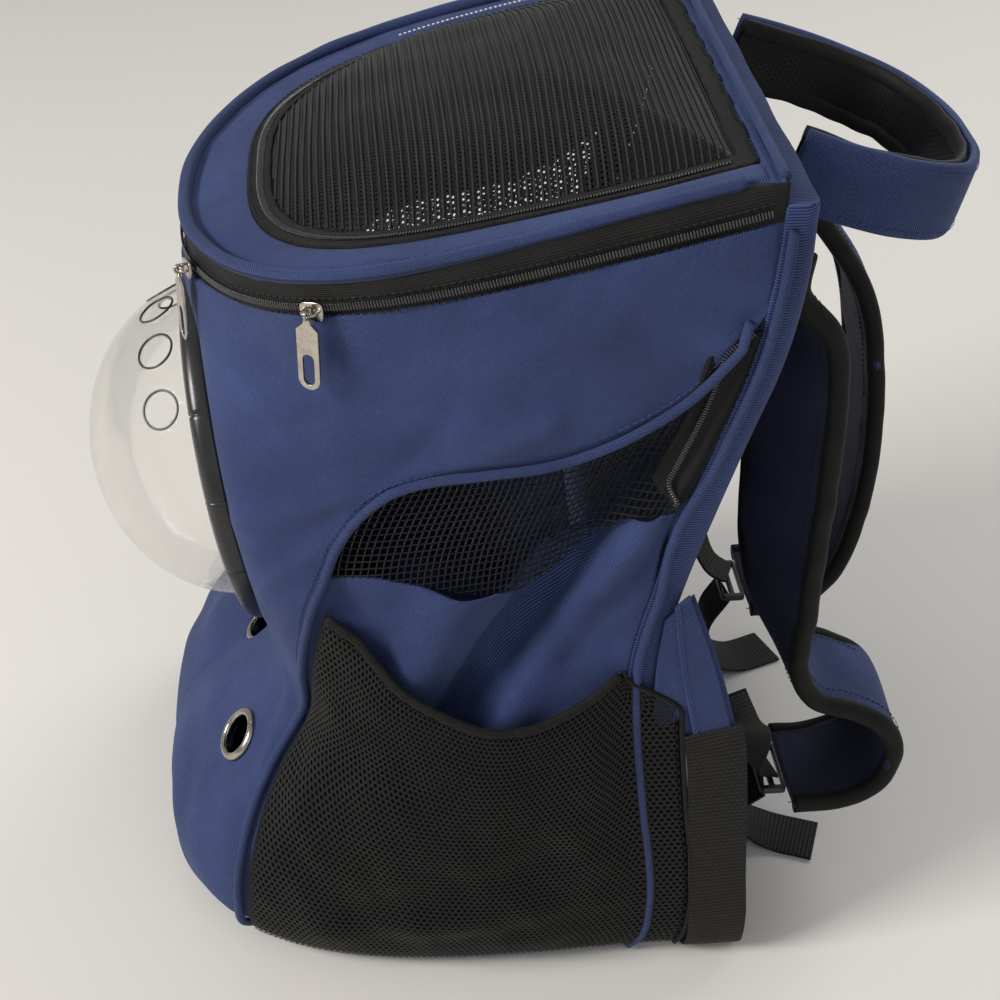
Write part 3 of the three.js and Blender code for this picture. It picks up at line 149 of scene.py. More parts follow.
# Level sections: height, front, back, half width as shares, and the two exponents of the rounded front.
SECTIONS = np.array([
    (0.00, -1.074, 0.632, 0.980, 4.0, 3.2),
    (0.03, -1.176, 0.684, 1.020, 4.0, 3.5),
    (0.10, -1.235, 0.713, 1.046, 4.0, 3.8),
    (0.17, -1.184, 0.699, 1.046, 4.0, 4.0),
    (0.24, -1.066, 0.669, 1.033, 4.0, 4.0),
    (0.30, -0.926, 0.647, 1.020, 4.0, 4.0),
    (0.375, -0.750, 0.625, 1.000, 4.0, 4.0),
    (0.45, -0.757, 0.618, 0.980, 4.0, 3.8),
    (0.56, -0.809, 0.691, 0.967, 4.0, 3.5),
    (0.64, -0.846, 0.765, 0.967, 4.0, 3.2),
    (0.73, -0.882, 0.853, 0.974, 4.0, 3.0),
    (0.82, -0.926, 0.941, 0.987, 4.2, 2.7),
    (0.90, -0.956, 0.985, 0.993, 4.4, 2.3),
    (1.00, -1.000, 1.000, 1.000, 4.7, 2.0),
])
# Creases pressed into the sides: from (u, v) to (u, v), depth as a share of the bag's depth, and spread.
CREASES = [
    (0.10, 0.70, 0.14, 0.57, 0.040, 0.07),
    (0.14, 0.57, 0.20, 0.47, 0.050, 0.08),
    (0.20, 0.47, 0.28, 0.34, 0.035, 0.08),
    (0.40, 0.87, 0.58, 0.86, 0.008, 0.05),
    (0.60, 0.56, 0.50, 0.67, 0.012, 0.05),
]


# %% Reading the section table
def section_value(column, v):
    """A smooth value between the table's rows, with the rows' own slopes."""
    xs, ys = SECTIONS[:, 0], SECTIONS[:, column]
    steps = np.diff(ys) / np.diff(xs)
    gaps = np.diff(xs)
    rate = np.empty_like(ys)
    rate[0], rate[-1] = steps[0], steps[-1]
    rate[1:-1] = (steps[:-1] * gaps[1:] + steps[1:] * gaps[:-1]) / (gaps[:-1] + gaps[1:])
    v = np.asarray(v, float)
    i = np.clip(np.searchsorted(xs, v, side="right") - 1, 0, len(xs) - 2)
    h = xs[i + 1] - xs[i]
    s = (v - xs[i]) / h
    return ((2 * s**3 - 3 * s**2 + 1) * ys[i] + (s**3 - 2 * s**2 + s) * h * rate[i]
            + (3 * s**2 - 2 * s**3) * ys[i + 1] + (s**3 - s**2) * h * rate[i + 1])


def rim_height(y):
    return FRONT_HEIGHT + (BACK_HEIGHT - FRONT_HEIGHT) * (y + HALF_DEPTH) / BAG_DEPTH


def back_at(v):
    return HALF_DEPTH * section_value(2, v)


def half_at(v):
    return HALF_WIDTH * section_value(3, v)


def unit(vectors):
    return vectors / np.linalg.norm(vectors, axis=-1, keepdims=True)


def circle(count):
    return np.linspace(0, 2 * math.pi, count, endpoint=False)


def ease(low, high, value):
    t = np.clip((value - low) / (high - low), 0, 1)
    return t * t * (3 - 2 * t)


def crease_depth(u, v):
    depth = np.zeros(np.broadcast(u, v).shape)
    for u0, v0, u1, v1, deep, spread in CREASES:
        du, dv = u1 - u0, v1 - v0
        t = np.clip(((u - u0) * du + (v - v0) * dv) / (du * du + dv * dv), 0, 1)
        away = np.hypot(u - u0 - du * t, v - v0 - dv * t) / spread
        depth = np.maximum(depth, deep * np.exp(-2 * away**2))
    return depth * BAG_DEPTH


# %% The surface on a fine grid
U_STEPS, V_STEPS, TURN_STEPS = 480, 360, 240


def surface_grid(creased):
    v = np.linspace(0, 1, V_STEPS + 1)[:, None]
    turn = np.linspace(0, math.pi / 2, TURN_STEPS + 1)[None, :]
    front, rear, half = HALF_DEPTH * section_value(1, v), back_at(v) - BACK_PAD, half_at(v)
    x = half * np.cos(turn).clip(0) ** (2 / section_value(5, v))
    y = rear - (rear - front) * np.sin(turn) ** (2 / section_value(4, v))
    run = np.concatenate([np.zeros((V_STEPS + 1, 1)), np.cumsum(np.hypot(np.diff(x), np.diff(y)), axis=1)],
                         axis=1)
    share = np.linspace(0, 1, U_STEPS + 1)
    xs = np.array([np.interp(share * r[-1], r, row) for r, row in zip(run, x)])
    ys = np.array([np.interp(share * r[-1], r, row) for r, row in zip(run, y)])
    points = np.stack([xs, ys, v * rim_height(ys)], axis=-1)
    ahead = (points - RING_CENTRE) @ RING_AXIS
    radial = np.linalg.norm(points - ahead[..., None] * RING_AXIS - RING_CENTRE, axis=-1)
    hold = 1 - ease(RING_RADIUS + 1 * MM, RING_RADIUS + 54 * MM, radial)
    points -= (ahead * hold)[..., None] * RING_AXIS
    if creased:
        points[..., 0] -= crease_depth(share[None, :], v) * ease(0, 0.03, share) * (share < 0.999)
    return points


GRIDS = {True: surface_grid(True), False: surface_grid(False)}


def read_grid(grid, u, v):
    a, b = np.clip(u, 0, 1) * U_STEPS, np.clip(v, 0, 1) * V_STEPS
    i, j = np.minimum(a.astype(int), U_STEPS - 1), np.minimum(b.astype(int), V_STEPS - 1)
    s, t = (a - i)[..., None], (b - j)[..., None]
    return ((grid[j, i] * (1 - s) + grid[j, i + 1] * s) * (1 - t)
            + (grid[j + 1, i] * (1 - s) + grid[j + 1, i + 1] * s) * t)


def body(u, v, out=0.0, creased=True):
    """Points of the bag's near side, moved outwards by out."""
    u, v = np.broadcast_arrays(np.asarray(u, float), np.asarray(v, float))
    grid, d = GRIDS[creased], 0.006
    point = read_grid(grid, u, v)
    across = read_grid(grid, np.minimum(u + d, 1), v) - read_grid(grid, np.maximum(u - d, 0), v)
    up = read_grid(grid, u, np.minimum(v + d, 1)) - read_grid(grid, u, np.maximum(v - d, 0))
    normal = np.cross(up, across)
    normal[..., 0] = np.where(u > 0.9999, 0, normal[..., 0])
    normal = unit(normal)
    return point + normal * np.asarray(out)[..., None]


print("rim front and back, mm:", (body(1, 1) / MM).round(1), (body(0, 1) / MM).round(1))

# %% [markdown]
# ## Small makers
# A panel is a grid of points turned into quads, and a cord is a grid round a path. Cloth is never quite smooth, so `ripple` adds slow waves from a few crossing sine waves: it has a fixed seed and needs
# no noise texture. Each panel carries a `weave` UV map in metres, and the weaves are drawn on that.

# %% Curves through table points
def smooth_path(rows, count, spaced=True):
    """A centripetal Catmull-Rom curve through the rows, read at count + 1 places."""
    p = np.asarray(rows, float)
    p = np.vstack([2 * p[0] - p[1], p, 2 * p[-1] - p[-2]])
    fine = max(count * 4, 200) if spaced else count
    t = np.linspace(0, len(p) - 3, fine + 1)
    i = np.minimum(t.astype(int), len(p) - 4)
    s = (t - i)[:, None]
    a, b, c, d = p[i], p[i + 1], p[i + 2], p[i + 3]
    ta, tb, tc = (np.maximum(np.linalg.norm(m - n, axis=1), 1e-9)[:, None] ** 0.5 for m,
                  n in ((b, a), (c, b), (d, c)))
    m1 = ((b - a) / ta - (c - a) / (ta + tb) + (c - b) / tb) * tb
    m2 = ((c - b) / tb - (d - b) / (tb + tc) + (d - c) / tc) * tb
    out = b + m1 * s + (3 * (c - b) - 2 * m1 - m2) * s**2 + (2 * (b - c) + m1 + m2) * s**3
    if not spaced:
        return out
    run = run_of(out)
    where = np.linspace(0, run[-1], count + 1)
    return np.stack([np.interp(where, run, out[:, k]) for k in range(out.shape[1])], axis=1)


def run_of(path):
    """Distance along a path at each of its points."""
    return np.concatenate([[0], np.cumsum(np.linalg.norm(np.diff(path, axis=0), axis=1))])


def path_length(path):
    return float(np.linalg.norm(np.diff(path, axis=0), axis=1).sum())


def ripple(points, size, seed, waves=9):
    """Soft random waves, about -1 to 1, of roughly this size."""
    rng = np.random.default_rng(seed)
    k = rng.normal(size=(waves, 3))
    k *= (2 * math.pi / (size * rng.uniform(0.7, 1.6, waves)) / np.linalg.norm(k, axis=1))[:, None]
    return np.sin(np.asarray(points) @ k.T
                  + rng.uniform(0, 2 * math.pi, waves)).sum(-1) / (waves / 2) ** 0.5 / 1.6


def mirrored(points):
    return np.asarray(points) * np.array([-1, 1, 1])


SIDES = (("right", np.asarray),
         ("left", mirrored))  # the near side as drawn, and the far side as its mirror


# %% Meshes from grids
def quads_of(rows, columns, loop_rows=False, loop_columns=False):
    index = np.arange(rows * columns).reshape(rows, columns)
    if loop_rows:
        index = np.vstack([index, index[:1]])
    if loop_columns:
        index = np.hstack([index, index[:, :1]])
    return np.stack([index[:-1, :-1], index[:-1, 1:], index[1:, 1:], index[1:, :-1]],
                    axis=-1).reshape(-1, 4)


def make(name, verts, faces, material, uv=None):
    mesh = bpy.data.meshes.new(name)
    mesh.from_pydata(np.asarray(verts, float).tolist(), [], [list(map(int, f)) for f in faces])
    if material:
        mesh.materials.append(material)
    if uv is not None:
        layer = mesh.uv_layers.new(name="weave")
        corner = np.empty(len(mesh.loops), int)
        mesh.loops.foreach_get("vertex_index", corner)
        layer.data.foreach_set("uv", np.asarray(uv, float).reshape(-1, 2)[corner].ravel())
    mesh.shade_smooth()
    return placed(name, mesh)


def arc_uv(grid):
    """Weave coordinates of a grid, in metres along its columns and rows."""
    across = np.concatenate([np.zeros((grid.shape[0], 1)),
                             np.cumsum(np.linalg.norm(np.diff(grid, axis=1), axis=2), axis=1)], axis=1)
    middle = grid[:, grid.shape[1] // 2]
    down = run_of(middle)
    across -= across[:, grid.shape[1] // 2][:, None]
    return np.stack([across, np.repeat(down[:, None], grid.shape[1], axis=1)], axis=-1)


def only_used(faces, count):
    """The numbers of the points that faces use, and the faces over those points alone."""
    used = np.unique(faces)
    renumber = np.zeros(count, int)
    renumber[used] = np.arange(len(used))
    return used, renumber[faces]


def facing_out(points, faces, inside):
    """The faces, turned where needed so that they look away from a point inside the bag."""
    a, b, c = (points[faces[:, k]] for k in range(3))
    total = np.einsum("ij,ij->i", np.cross(b - a, c - b), (a + c) / 2 - np.array(inside)).sum()
    return faces[:, ::-1] if total < 0 else faces


def walled(piece, thickness):
    wall = piece.modifiers.new("wall", "SOLIDIFY")
    wall.thickness = thickness
    wall.offset = -1
    return piece


def panel(name, grid, material, thickness=0.0, uv=None, inside=(0, 0, 0.2)):
    """A sheet over a grid of points, facing away from inside, with a wall of this thickness turned inwards."""
    faces = quads_of(*grid.shape[:2])
    flat = grid.reshape(-1, 3)
    used, faces = only_used(facing_out(flat, faces, inside), len(flat))
    uv = (arc_uv(grid) if uv is None else uv).reshape(-1, 2)
    made = make(name, flat[used], faces, material, uv[used])
    return walled(made, thickness) if thickness else made


def frames_along(path, up, loop):
    """Unit directions across a path and out of it. up is the rough outward direction at each place."""
    ahead = np.roll(path, -1, axis=0) - np.roll(path, 1, axis=0) if loop else np.gradient(path, axis=0)
    ahead = unit(ahead)
    across = np.cross(ahead, np.broadcast_to(np.asarray(up, float), path.shape))
    across = unit(across)
    return across, np.cross(across, ahead)


def cord(name, path, radius, material, up=(0, 0, 1), sides=10, flat=1.0, loop=False):
    """A round or flattened roll along a path, closed at both ends. flat is its height over its width."""
    across, out = frames_along(path, up, loop)
    turn = circle(sides)
    radius = np.broadcast_to(np.asarray(radius, float), (len(path),))[:, None, None]
    ring = across[:, None] * np.cos(turn)[None, :, None] + flat * out[:, None] * np.sin(turn)[None, :, None]
    grid = path[:, None] + ring * radius
    rows = len(path)
    faces = [tuple(f) for f in quads_of(rows, sides, loop_rows=loop, loop_columns=True)]
    if not loop:
        faces += [tuple(range(sides))[::-1], tuple(range((rows - 1) * sides, rows * sides))]
    run = run_of(path)
    uv = np.stack([np.broadcast_to(turn * radius.mean(), (rows, sides)),
                   np.repeat(run[:, None], sides, axis=1)], axis=-1)
    flat_verts = grid.reshape(-1, 3)
    a, b, c = (flat_verts[[f[k] for f in faces]] for k in range(3))
    volume = np.einsum("ij,ij->i", a - path.mean(0), np.cross(b - path.mean(0), c - path.mean(0))).sum()
    if volume < 0:
        faces = [f[::-1] for f in faces]
    return make(name, flat_verts, faces, material, uv)


# %% Mending and closing meshes
def weld(piece, distance=0.02 * MM):
    work = bmesh.new()
    work.from_mesh(piece.data)
    bmesh.ops.remove_doubles(work, verts=work.verts, dist=distance)
    work.to_mesh(piece.data)
    work.free()


def turned_out(piece, inside):
    """Turns a sheet's faces away from a point inside the bag."""
    mesh = piece.data
    total = sum((p.center - Vector(inside)).dot(p.normal) * p.area for p in mesh.polygons)
    if total < 0:
        mesh.flip_normals()


def outwards(piece):
    work = bmesh.new()
    work.from_mesh(piece.data)
    bmesh.ops.recalc_face_normals(work, faces=work.faces)
    if work.calc_volume(signed=True) < 0:
        bmesh.ops.reverse_faces(work, faces=work.faces)
    work.to_mesh(piece.data)
    work.free()


def closed_loops(name, loops, material, uv=None):
    """Joins a stack of loops and closes both ends."""
    rows, columns = loops.shape[:2]
    faces = [tuple(f) for f in quads_of(rows, columns, loop_columns=True)]
    faces += [tuple(range(columns))[::-1], tuple(range((rows - 1) * columns, rows * columns))]
    piece = make(name, loops.reshape(-1, 3), faces, material, None if uv is None else uv.reshape(-1, 2))
    outwards(piece)
    return piece


def torus(name, grid, material):
    """A grid that closes on itself both ways."""
    rows, columns = grid.shape[:2]
    faces = quads_of(rows, columns, loop_rows=True, loop_columns=True)
    piece = make(name, grid.reshape(-1, 3), faces, material)
    outwards(piece)
    return piece


# %% One call for what every piece needs
def settle(piece, node, carrier="bag"):
    """Puts a piece in its node's place, on the body that carries it."""
    if node:
        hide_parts(node)
    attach(piece, carrier)
    return piece

# %% [markdown]
# ## Finishes
# Each finish is a node material read from the `weave` map in metres, so a thread keeps its real size on every
# panel. Twill is a set of diagonal ridges crossed by finer threads; webbing is a stack of ribs, each set half a
# step from the next; both drive colour and bump together, as real threads do. Uniform values are set on the
# shader's own sockets.

# %% A small material maker
class Finish:
    """A material being built: math, noise and mixes are nodes, joined as they are made."""

    def __init__(self, name, roughness=0.6, metallic=0.0, **sockets):
        self.material = bpy.data.materials.new(name)
        self.material.use_nodes = True
        self.tree = self.material.node_tree
        self.shader = self.tree.nodes["Principled BSDF"]
        self.shader.inputs["Roughness"].default_value = roughness
        self.shader.inputs["Metallic"].default_value = metallic
        for socket, value in sockets.items():
            self.shader.inputs[socket.replace("_", " ")].default_value = value
        weave = self.tree.nodes.new("ShaderNodeUVMap")
        weave.uv_map = "weave"
        split = self.tree.nodes.new("ShaderNodeSeparateXYZ")
        self.tree.links.new(weave.outputs["UV"], split.inputs[0])
        self.x, self.y = split.outputs["X"], split.outputs["Y"]
        self.place = self.tree.nodes.new("ShaderNodeTexCoord").outputs["Object"]

    def set(self, socket, value):
        if isinstance(value, (int, float, tuple)):
            socket.default_value = value
        else:
            self.tree.links.new(value, socket)

    def math(self, operation, *values):
        node = self.tree.nodes.new("ShaderNodeMath")
        node.operation = operation
        for socket, value in zip(node.inputs, values):
            self.set(socket, value)
        return node.outputs[0]

    def wave(self, value, pitch, shift=0.0):
        """0 to 1 along value, once each pitch."""
        turn = self.math("MULTIPLY_ADD", value, 2 * math.pi / pitch, shift)
        return self.math("MULTIPLY_ADD", self.math("SINE", turn), 0.5, 0.5)

    def noise(self, size, detail=3.0, roughness=0.55):
        """Cloudy noise, with patches of about this size in metres."""
        node = self.tree.nodes.new("ShaderNodeTexNoise")
        self.set(node.inputs["Vector"], self.place)
        node.inputs["Scale"].default_value = 1 / size
        node.inputs["Detail"].default_value = detail
        node.inputs["Roughness"].default_value = roughness
        return node.outputs["Fac"]

    def between(self, low, high, factor):
        node = self.tree.nodes.new("ShaderNodeMix")
        node.data_type = "RGBA"
        self.set(node.inputs["Factor"], factor)
        node.inputs["A"].default_value = (*low, 1)
        node.inputs["B"].default_value = (*high, 1)
        return node.outputs["Result"]

    def bump(self, height, distance, strength=1.0, below=None):
        node = self.tree.nodes.new("ShaderNodeBump")
        node.inputs["Distance"].default_value = distance
        node.inputs["Strength"].default_value = strength
        self.set(node.inputs["Height"], height)
        if below:
            self.tree.links.new(below, node.inputs["Normal"])
        return node.outputs["Normal"]

    def finish(self, color=None, normal=None, roughness=None, alpha=None):
        for socket, value in (("Base Color", color), ("Normal", normal), ("Roughness", roughness),
                              ("Alpha", alpha)):
            if value is not None:
                self.set(self.shader.inputs[socket], value)
        return self.material


# %% Cloth, webbing and thread
TWILL_PITCH = 1.35 * MM
RIB_PITCH = 2.3 * MM


def twill(name, dark, light, pitch=TWILL_PITCH, wrinkle=0.45, sheen=0.1):
    """Diagonal ridges of yarn, with slow colour change and small wrinkles."""
    f = Finish(name, roughness=0.78, Sheen_Weight=sheen, Sheen_Roughness=0.45,
               Sheen_Tint=(0.55, 0.65, 0.95, 1),
               Specular_IOR_Level=0.32)
    ridge = f.wave(f.math("ADD", f.x, f.y), pitch)
    yarn = f.wave(f.math("SUBTRACT", f.x, f.y), 0.62 * pitch)
    height = f.math("MULTIPLY", ridge, f.math("MULTIPLY_ADD", yarn, 0.45, 0.55))
    clouds = f.noise(0.05, 4)
    lint = f.noise(0.0012, 2)
    tone = f.math("ADD", f.math("MULTIPLY_ADD", height, 1.0, -0.1),
                  f.math("ADD", f.math("MULTIPLY_ADD", clouds, 0.7, -0.3),
                         f.math("MULTIPLY_ADD", lint, 0.5, -0.25)))
    creases = f.bump(f.noise(0.022, 3, 0.5), 3 * MM, wrinkle)
    normal = f.bump(height, 0.3 * MM, 1.0, creases)
    return f.finish(f.between(dark, light, tone), normal)


def ribbed(name, dark, light, rib=RIB_PITCH):
    """Webbing: ribs across its width, each row of yarn half a step from the next."""
    f = Finish(name, roughness=0.66, Sheen_Weight=0.03, Sheen_Roughness=0.4, Specular_IOR_Level=0.22)
    row = f.math("FLOOR", f.math("DIVIDE", f.y, rib))
    ridge = f.math("POWER", f.wave(f.y, rib), 0.6)
    step = f.math("MULTIPLY_ADD", f.x, 2 * math.pi / (1.15 * rib), f.math("MULTIPLY", row, math.pi))
    yarn = f.math("MULTIPLY_ADD", f.math("SINE", step), 0.5, 0.5)
    height = f.math("MULTIPLY", ridge, f.math("MULTIPLY_ADD", yarn, 0.5, 0.5))
    tone = f.math("ADD", height, f.math("MULTIPLY_ADD", f.noise(0.004, 2), 0.6, -0.3))
    return f.finish(f.between(dark, light, tone), f.bump(height, 0.35 * MM, 0.9))


def yarn_cloth(name, dark, light, roughness=0.7, grain=0.0009, depth=0.2):
    """A matt knitted or napped cloth with no clear direction."""
    f = Finish(name, roughness=roughness, Sheen_Weight=0.03, Sheen_Roughness=0.5, Specular_IOR_Level=0.2)
    fine = f.noise(grain, 2)
    tone = f.math("ADD", f.math("MULTIPLY_ADD", fine, 1.2, -0.3),
                  f.math("MULTIPLY_ADD", f.noise(0.02, 2), 0.6, -0.3))
    return f.finish(f.between(dark, light, tone), f.bump(fine, depth * MM, 0.8))


blue_twill = twill("blue_twill", (0.008, 0.015, 0.058), (0.068, 0.108, 0.3))
blue_roll = twill("blue_roll", (0.008, 0.014, 0.055), (0.055, 0.09, 0.25), wrinkle=0.12)
# Inner face of the shoulder straps: a finer twill of its own, made darker as painted shade of the side that faces
# the bag.
shaded_strap_face = twill("shaded_strap_face", (0.008, 0.011, 0.032), (0.022, 0.028, 0.07), pitch=0.9 * MM, wrinkle=0.5,
                    sheen=0.1)
black_webbing = ribbed("black_webbing", (0.002, 0.002, 0.0022), (0.022, 0.021, 0.02))
black_tape = ribbed("black_tape", (0.003, 0.003, 0.003), (0.014, 0.0135, 0.013), rib=0.9 * MM)
black_binding = yarn_cloth("black_binding", (0.003, 0.003, 0.003), (0.016, 0.0155, 0.015))
black_air_mesh = yarn_cloth("black_air_mesh", (0.003, 0.0035, 0.0035), (0.013, 0.0145, 0.014),
                            roughness=0.6)
black_strand = yarn_cloth("black_strand", (0.003, 0.0035, 0.0035), (0.012, 0.013, 0.013), roughness=0.42,
                          depth=0.05)
rib_yarn = yarn_cloth("rib_yarn", (0.014, 0.016, 0.015), (0.044, 0.049, 0.046), roughness=0.6, depth=0.08)
# Near-black sheet for behind the pocket's air mesh: painted shade inside the pocket, seen through the holes.
painted_pocket_shade = yarn_cloth("painted_pocket_shade", (0.001, 0.0012, 0.0014), (0.004, 0.0045, 0.005), roughness=0.9)
blue_thread = yarn_cloth("blue_thread", (0.03, 0.05, 0.15), (0.07, 0.1, 0.26), grain=0.0004, depth=0.05)
black_thread = yarn_cloth("black_thread", (0.01, 0.01, 0.01), (0.04, 0.04, 0.04), grain=0.0004, depth=0.05)
# White of the beaded line along the far side of the window band.
white_bead_colour = yarn_cloth("white_bead_colour", (0.62, 0.63, 0.66), (0.86, 0.87, 0.9), grain=0.0004, depth=0.05)


# %% Plastic and metal
def moulded(name, dark, light, roughness, grain=0.0007, depth=0.03, **sockets):
    """Moulded plastic: a fine mould grain and slow gloss changes where it has been handled."""
    f = Finish(name, roughness=roughness, **sockets)
    worn = f.noise(0.012, 3)
    rough = f.math("MULTIPLY_ADD", worn, 0.22, roughness - 0.11)
    return f.finish(f.between(dark, light, worn), f.bump(f.noise(grain, 2), depth * MM, 0.6), rough)


def plated(name):
    """Nickel plate: bright, with fine rubbing marks along its length and duller spots."""
    f = Finish(name, roughness=0.14, metallic=1.0)
    rubbed = f.noise(0.0035, 4, 0.7)
    rough = f.math("MULTIPLY_ADD", rubbed, 0.24, 0.08)
    return f.finish(f.between((0.2, 0.17, 0.145), (0.6, 0.56, 0.5), rubbed), f.bump(rubbed, 0.04 * MM, 0.5),
                    rough)


def clear_moulding(name):
    """Thin clear plastic: nearly nothing seen straight through, more reflection and a grey edge at a slant."""
    f = Finish(name, roughness=0.03, Transmission_Weight=1.0, IOR=1.3)
    slant = f.tree.nodes.new("ShaderNodeLayerWeight")
    slant.inputs["Blend"].default_value = 0.28
    edge = f.math("POWER", slant.outputs["Facing"], 2.4)
    alpha = f.math("MULTIPLY_ADD", edge, 0.75, 0.16)
    return f.finish(f.between((0.97, 0.95, 0.91), (0.3, 0.24, 0.17), edge),
                    f.bump(f.noise(0.03, 2), 0.4 * MM, 0.15), alpha=alpha)


black_moulding = moulded("black_moulding", (0.008, 0.008, 0.0085), (0.02, 0.02, 0.021), 0.3)
black_coil = moulded("black_coil", (0.012, 0.012, 0.013), (0.035, 0.035, 0.037), 0.27,
                     Specular_IOR_Level=0.7)
dark_edge = moulded("dark_edge", (0.02, 0.018, 0.016), (0.07, 0.065, 0.06), 0.2)
nickel_plate = plated("nickel_plate")
clear_dome = clear_moulding("clear_dome")
print("finishes:", len(bpy.data.materials))

# %% [markdown]
# ## Repeats by Geometry Nodes
# Three trees make everything that repeats. `strands` gives each edge of a drawn net a round thread. `row` walks
# along a path and sets one small piece at each step: a stitch, a zip tooth or a bead. `perforate` turns a
# triangle lattice into six-sided cells (its dual) and opens a hole in each, which is how air mesh looks. Every
# tree ends in Set Material, and in Realize Instances where it made instances, and its result is kept as a
# plain mesh.

# %% The trees
def new_tree(name, sizes):
    tree = bpy.data.node_groups.new(name, "GeometryNodeTree")
    tree.interface.new_socket("Geometry", in_out="INPUT", socket_type="NodeSocketGeometry")
    for label, kind, value in sizes:
        socket = tree.interface.new_socket(label, in_out="INPUT", socket_type="NodeSocket" + kind)
        if value is not None:
            socket.default_value = value
    tree.interface.new_socket("Geometry", in_out="OUTPUT", socket_type="NodeSocketGeometry")
    return tree, tree.nodes.new("NodeGroupInput"), tree.nodes.new("NodeGroupOutput")


def wire(tree, *links):
    """Joins sockets, each row naming a node, its output, the next node and its input."""
    for source, output, target, into in links:
        tree.links.new(source.outputs[output], target.inputs[into])


def strands_tree():
    tree, given, result = new_tree("strands", [("Radius", "Float", 0.4 * MM), ("Sides", "Int", 4),
                                               ("Material", "Material", None)])
    curve, profile, tube, paint = (tree.nodes.new(kind) for kind in (
        "GeometryNodeMeshToCurve", "GeometryNodeCurvePrimitiveCircle", "GeometryNodeCurveToMesh",
        "GeometryNodeSetMaterial"))
    wire(
        tree,
        (given, "Geometry", curve, "Mesh"),
        (given, "Radius", profile, "Radius"),
        (given, "Sides", profile, "Resolution"),
        (curve, "Curve", tube, "Curve"),
        (profile, "Curve", tube, "Profile Curve"),
    )
    tube.inputs["Fill Caps"].default_value = True
    wire(
        tree,
        (tube, "Mesh", paint, "Geometry"),
        (given, "Material", paint, "Material"),
        (paint, "Geometry", result, "Geometry"),
    )
    return tree


def row_tree():
    sizes = [("Pitch", "Float", 3 * MM), ("Length", "Float", 2 * MM), ("Width", "Float", 0.5 * MM),
             ("Crosswise", "Bool", False), ("Material", "Material", None)]
    tree, given, result = new_tree("row", sizes)
    curve = tree.nodes.new("GeometryNodeMeshToCurve")
    points = tree.nodes.new("GeometryNodeCurveToPoints")
    points.mode = "LENGTH"
    out = tree.nodes.new("GeometryNodeInputNamedAttribute")
    out.data_type = "FLOAT_VECTOR"
    out.inputs["Name"].default_value = "out"
    face_out = tree.nodes.new("FunctionNodeAlignRotationToVector")
    face_out.axis = "Z"
    go_along = tree.nodes.new("FunctionNodeAlignRotationToVector")
    go_along.axis = "X"
    go_along.pivot_axis = "Z"
    crossing = tree.nodes.new("ShaderNodeVectorMath")
    crossing.operation = "CROSS_PRODUCT"
    way = tree.nodes.new("GeometryNodeSwitch")
    way.input_type = "VECTOR"
    bit = tree.nodes.new("GeometryNodeMeshUVSphere")
    bit.inputs["Segments"].default_value = 6
    bit.inputs["Rings"].default_value = 4
    bit.inputs["Radius"].default_value = 0.5
    size, place, real, paint = (tree.nodes.new(kind) for kind in (
        "ShaderNodeCombineXYZ", "GeometryNodeInstanceOnPoints", "GeometryNodeRealizeInstances",
        "GeometryNodeSetMaterial"))
    wire(
        tree,
        (given, "Geometry", curve, "Mesh"),
        (curve, "Curve", points, "Curve"),
        (given, "Pitch", points, "Length"),
        (out, "Attribute", face_out, "Vector"),
        (face_out, "Rotation", go_along, "Rotation"),
        (points, "Tangent", crossing, 0),
        (out, "Attribute", crossing, 1),
        (given, "Crosswise", way, "Switch"),
        (points, "Tangent", way, "False"),
        (crossing, 0, way, "True"),
        (way, "Output", go_along, "Vector"),
        (points, "Points", place, "Points"),
        (bit, "Mesh", place, "Instance"),
        (go_along, "Rotation", place, "Rotation"),
        (given, "Length", size, "X"),
        (given, "Width", size, "Y"),
        (given, "Width", size, "Z"),
        (size, 0, place, "Scale"),
        (place, "Instances", real, "Geometry"),
        (real, "Geometry", paint, "Geometry"),
        (given, "Material", paint, "Material"),
        (paint, "Geometry", result, "Geometry"),
    )
    return tree


def perforate_tree():
    tree, given, result = new_tree("perforate", [("Hole", "Float", 0.6), ("Material", "Material", None)])
    cells = tree.nodes.new("GeometryNodeDualMesh")
    cells.inputs["Keep Boundaries"].default_value = False
    inset = tree.nodes.new("GeometryNodeExtrudeMesh")
    inset.mode = "FACES"
    inset.inputs["Individual"].default_value = True
    inset.inputs["Offset Scale"].default_value = 0.0
    shrink = tree.nodes.new("GeometryNodeScaleElements")
    shrink.domain = "FACE"
    drop = tree.nodes.new("GeometryNodeDeleteGeometry")
    drop.domain = "FACE"
    paint = tree.nodes.new("GeometryNodeSetMaterial")
    wire(
        tree,
        (given, "Geometry", cells, "Mesh"),
        (cells, "Dual Mesh", inset, "Mesh"),
        (inset, "Mesh", shrink, "Geometry"),
        (inset, "Top", shrink, "Selection"),
        (given, "Hole", shrink, "Scale"),
        (shrink, "Geometry", drop, "Geometry"),
        (inset, "Top", drop, "Selection"),
        (drop, "Geometry", paint, "Geometry"),
        (given, "Material", paint, "Material"),
        (paint, "Geometry", result, "Geometry"),
    )
    return tree


STRANDS, ROW, PERFORATE = strands_tree(), row_tree(), perforate_tree()


# %% Growing a piece from a drawn base
def grow(name, base, tree, **sizes):
    """Runs a tree on a base mesh and keeps the result as a plain mesh."""
    run = base.modifiers.new("grow", "NODES")
    run.node_group = tree
    for item in tree.interface.items_tree:
        key = item.name.lower()
        if item.in_out == "INPUT" and key in sizes:
            run[item.identifier] = sizes[key]
    made = bpy.data.meshes.new_from_object(base.evaluated_get(bpy.context.evaluated_depsgraph_get()))
    drawn = base.data
    bpy.data.objects.remove(base)
    bpy.data.meshes.remove(drawn)
    made.name = name
    made.shade_smooth()
    piece = placed(name, made)
    print(name, "faces:", len(made.polygons))
    return piece


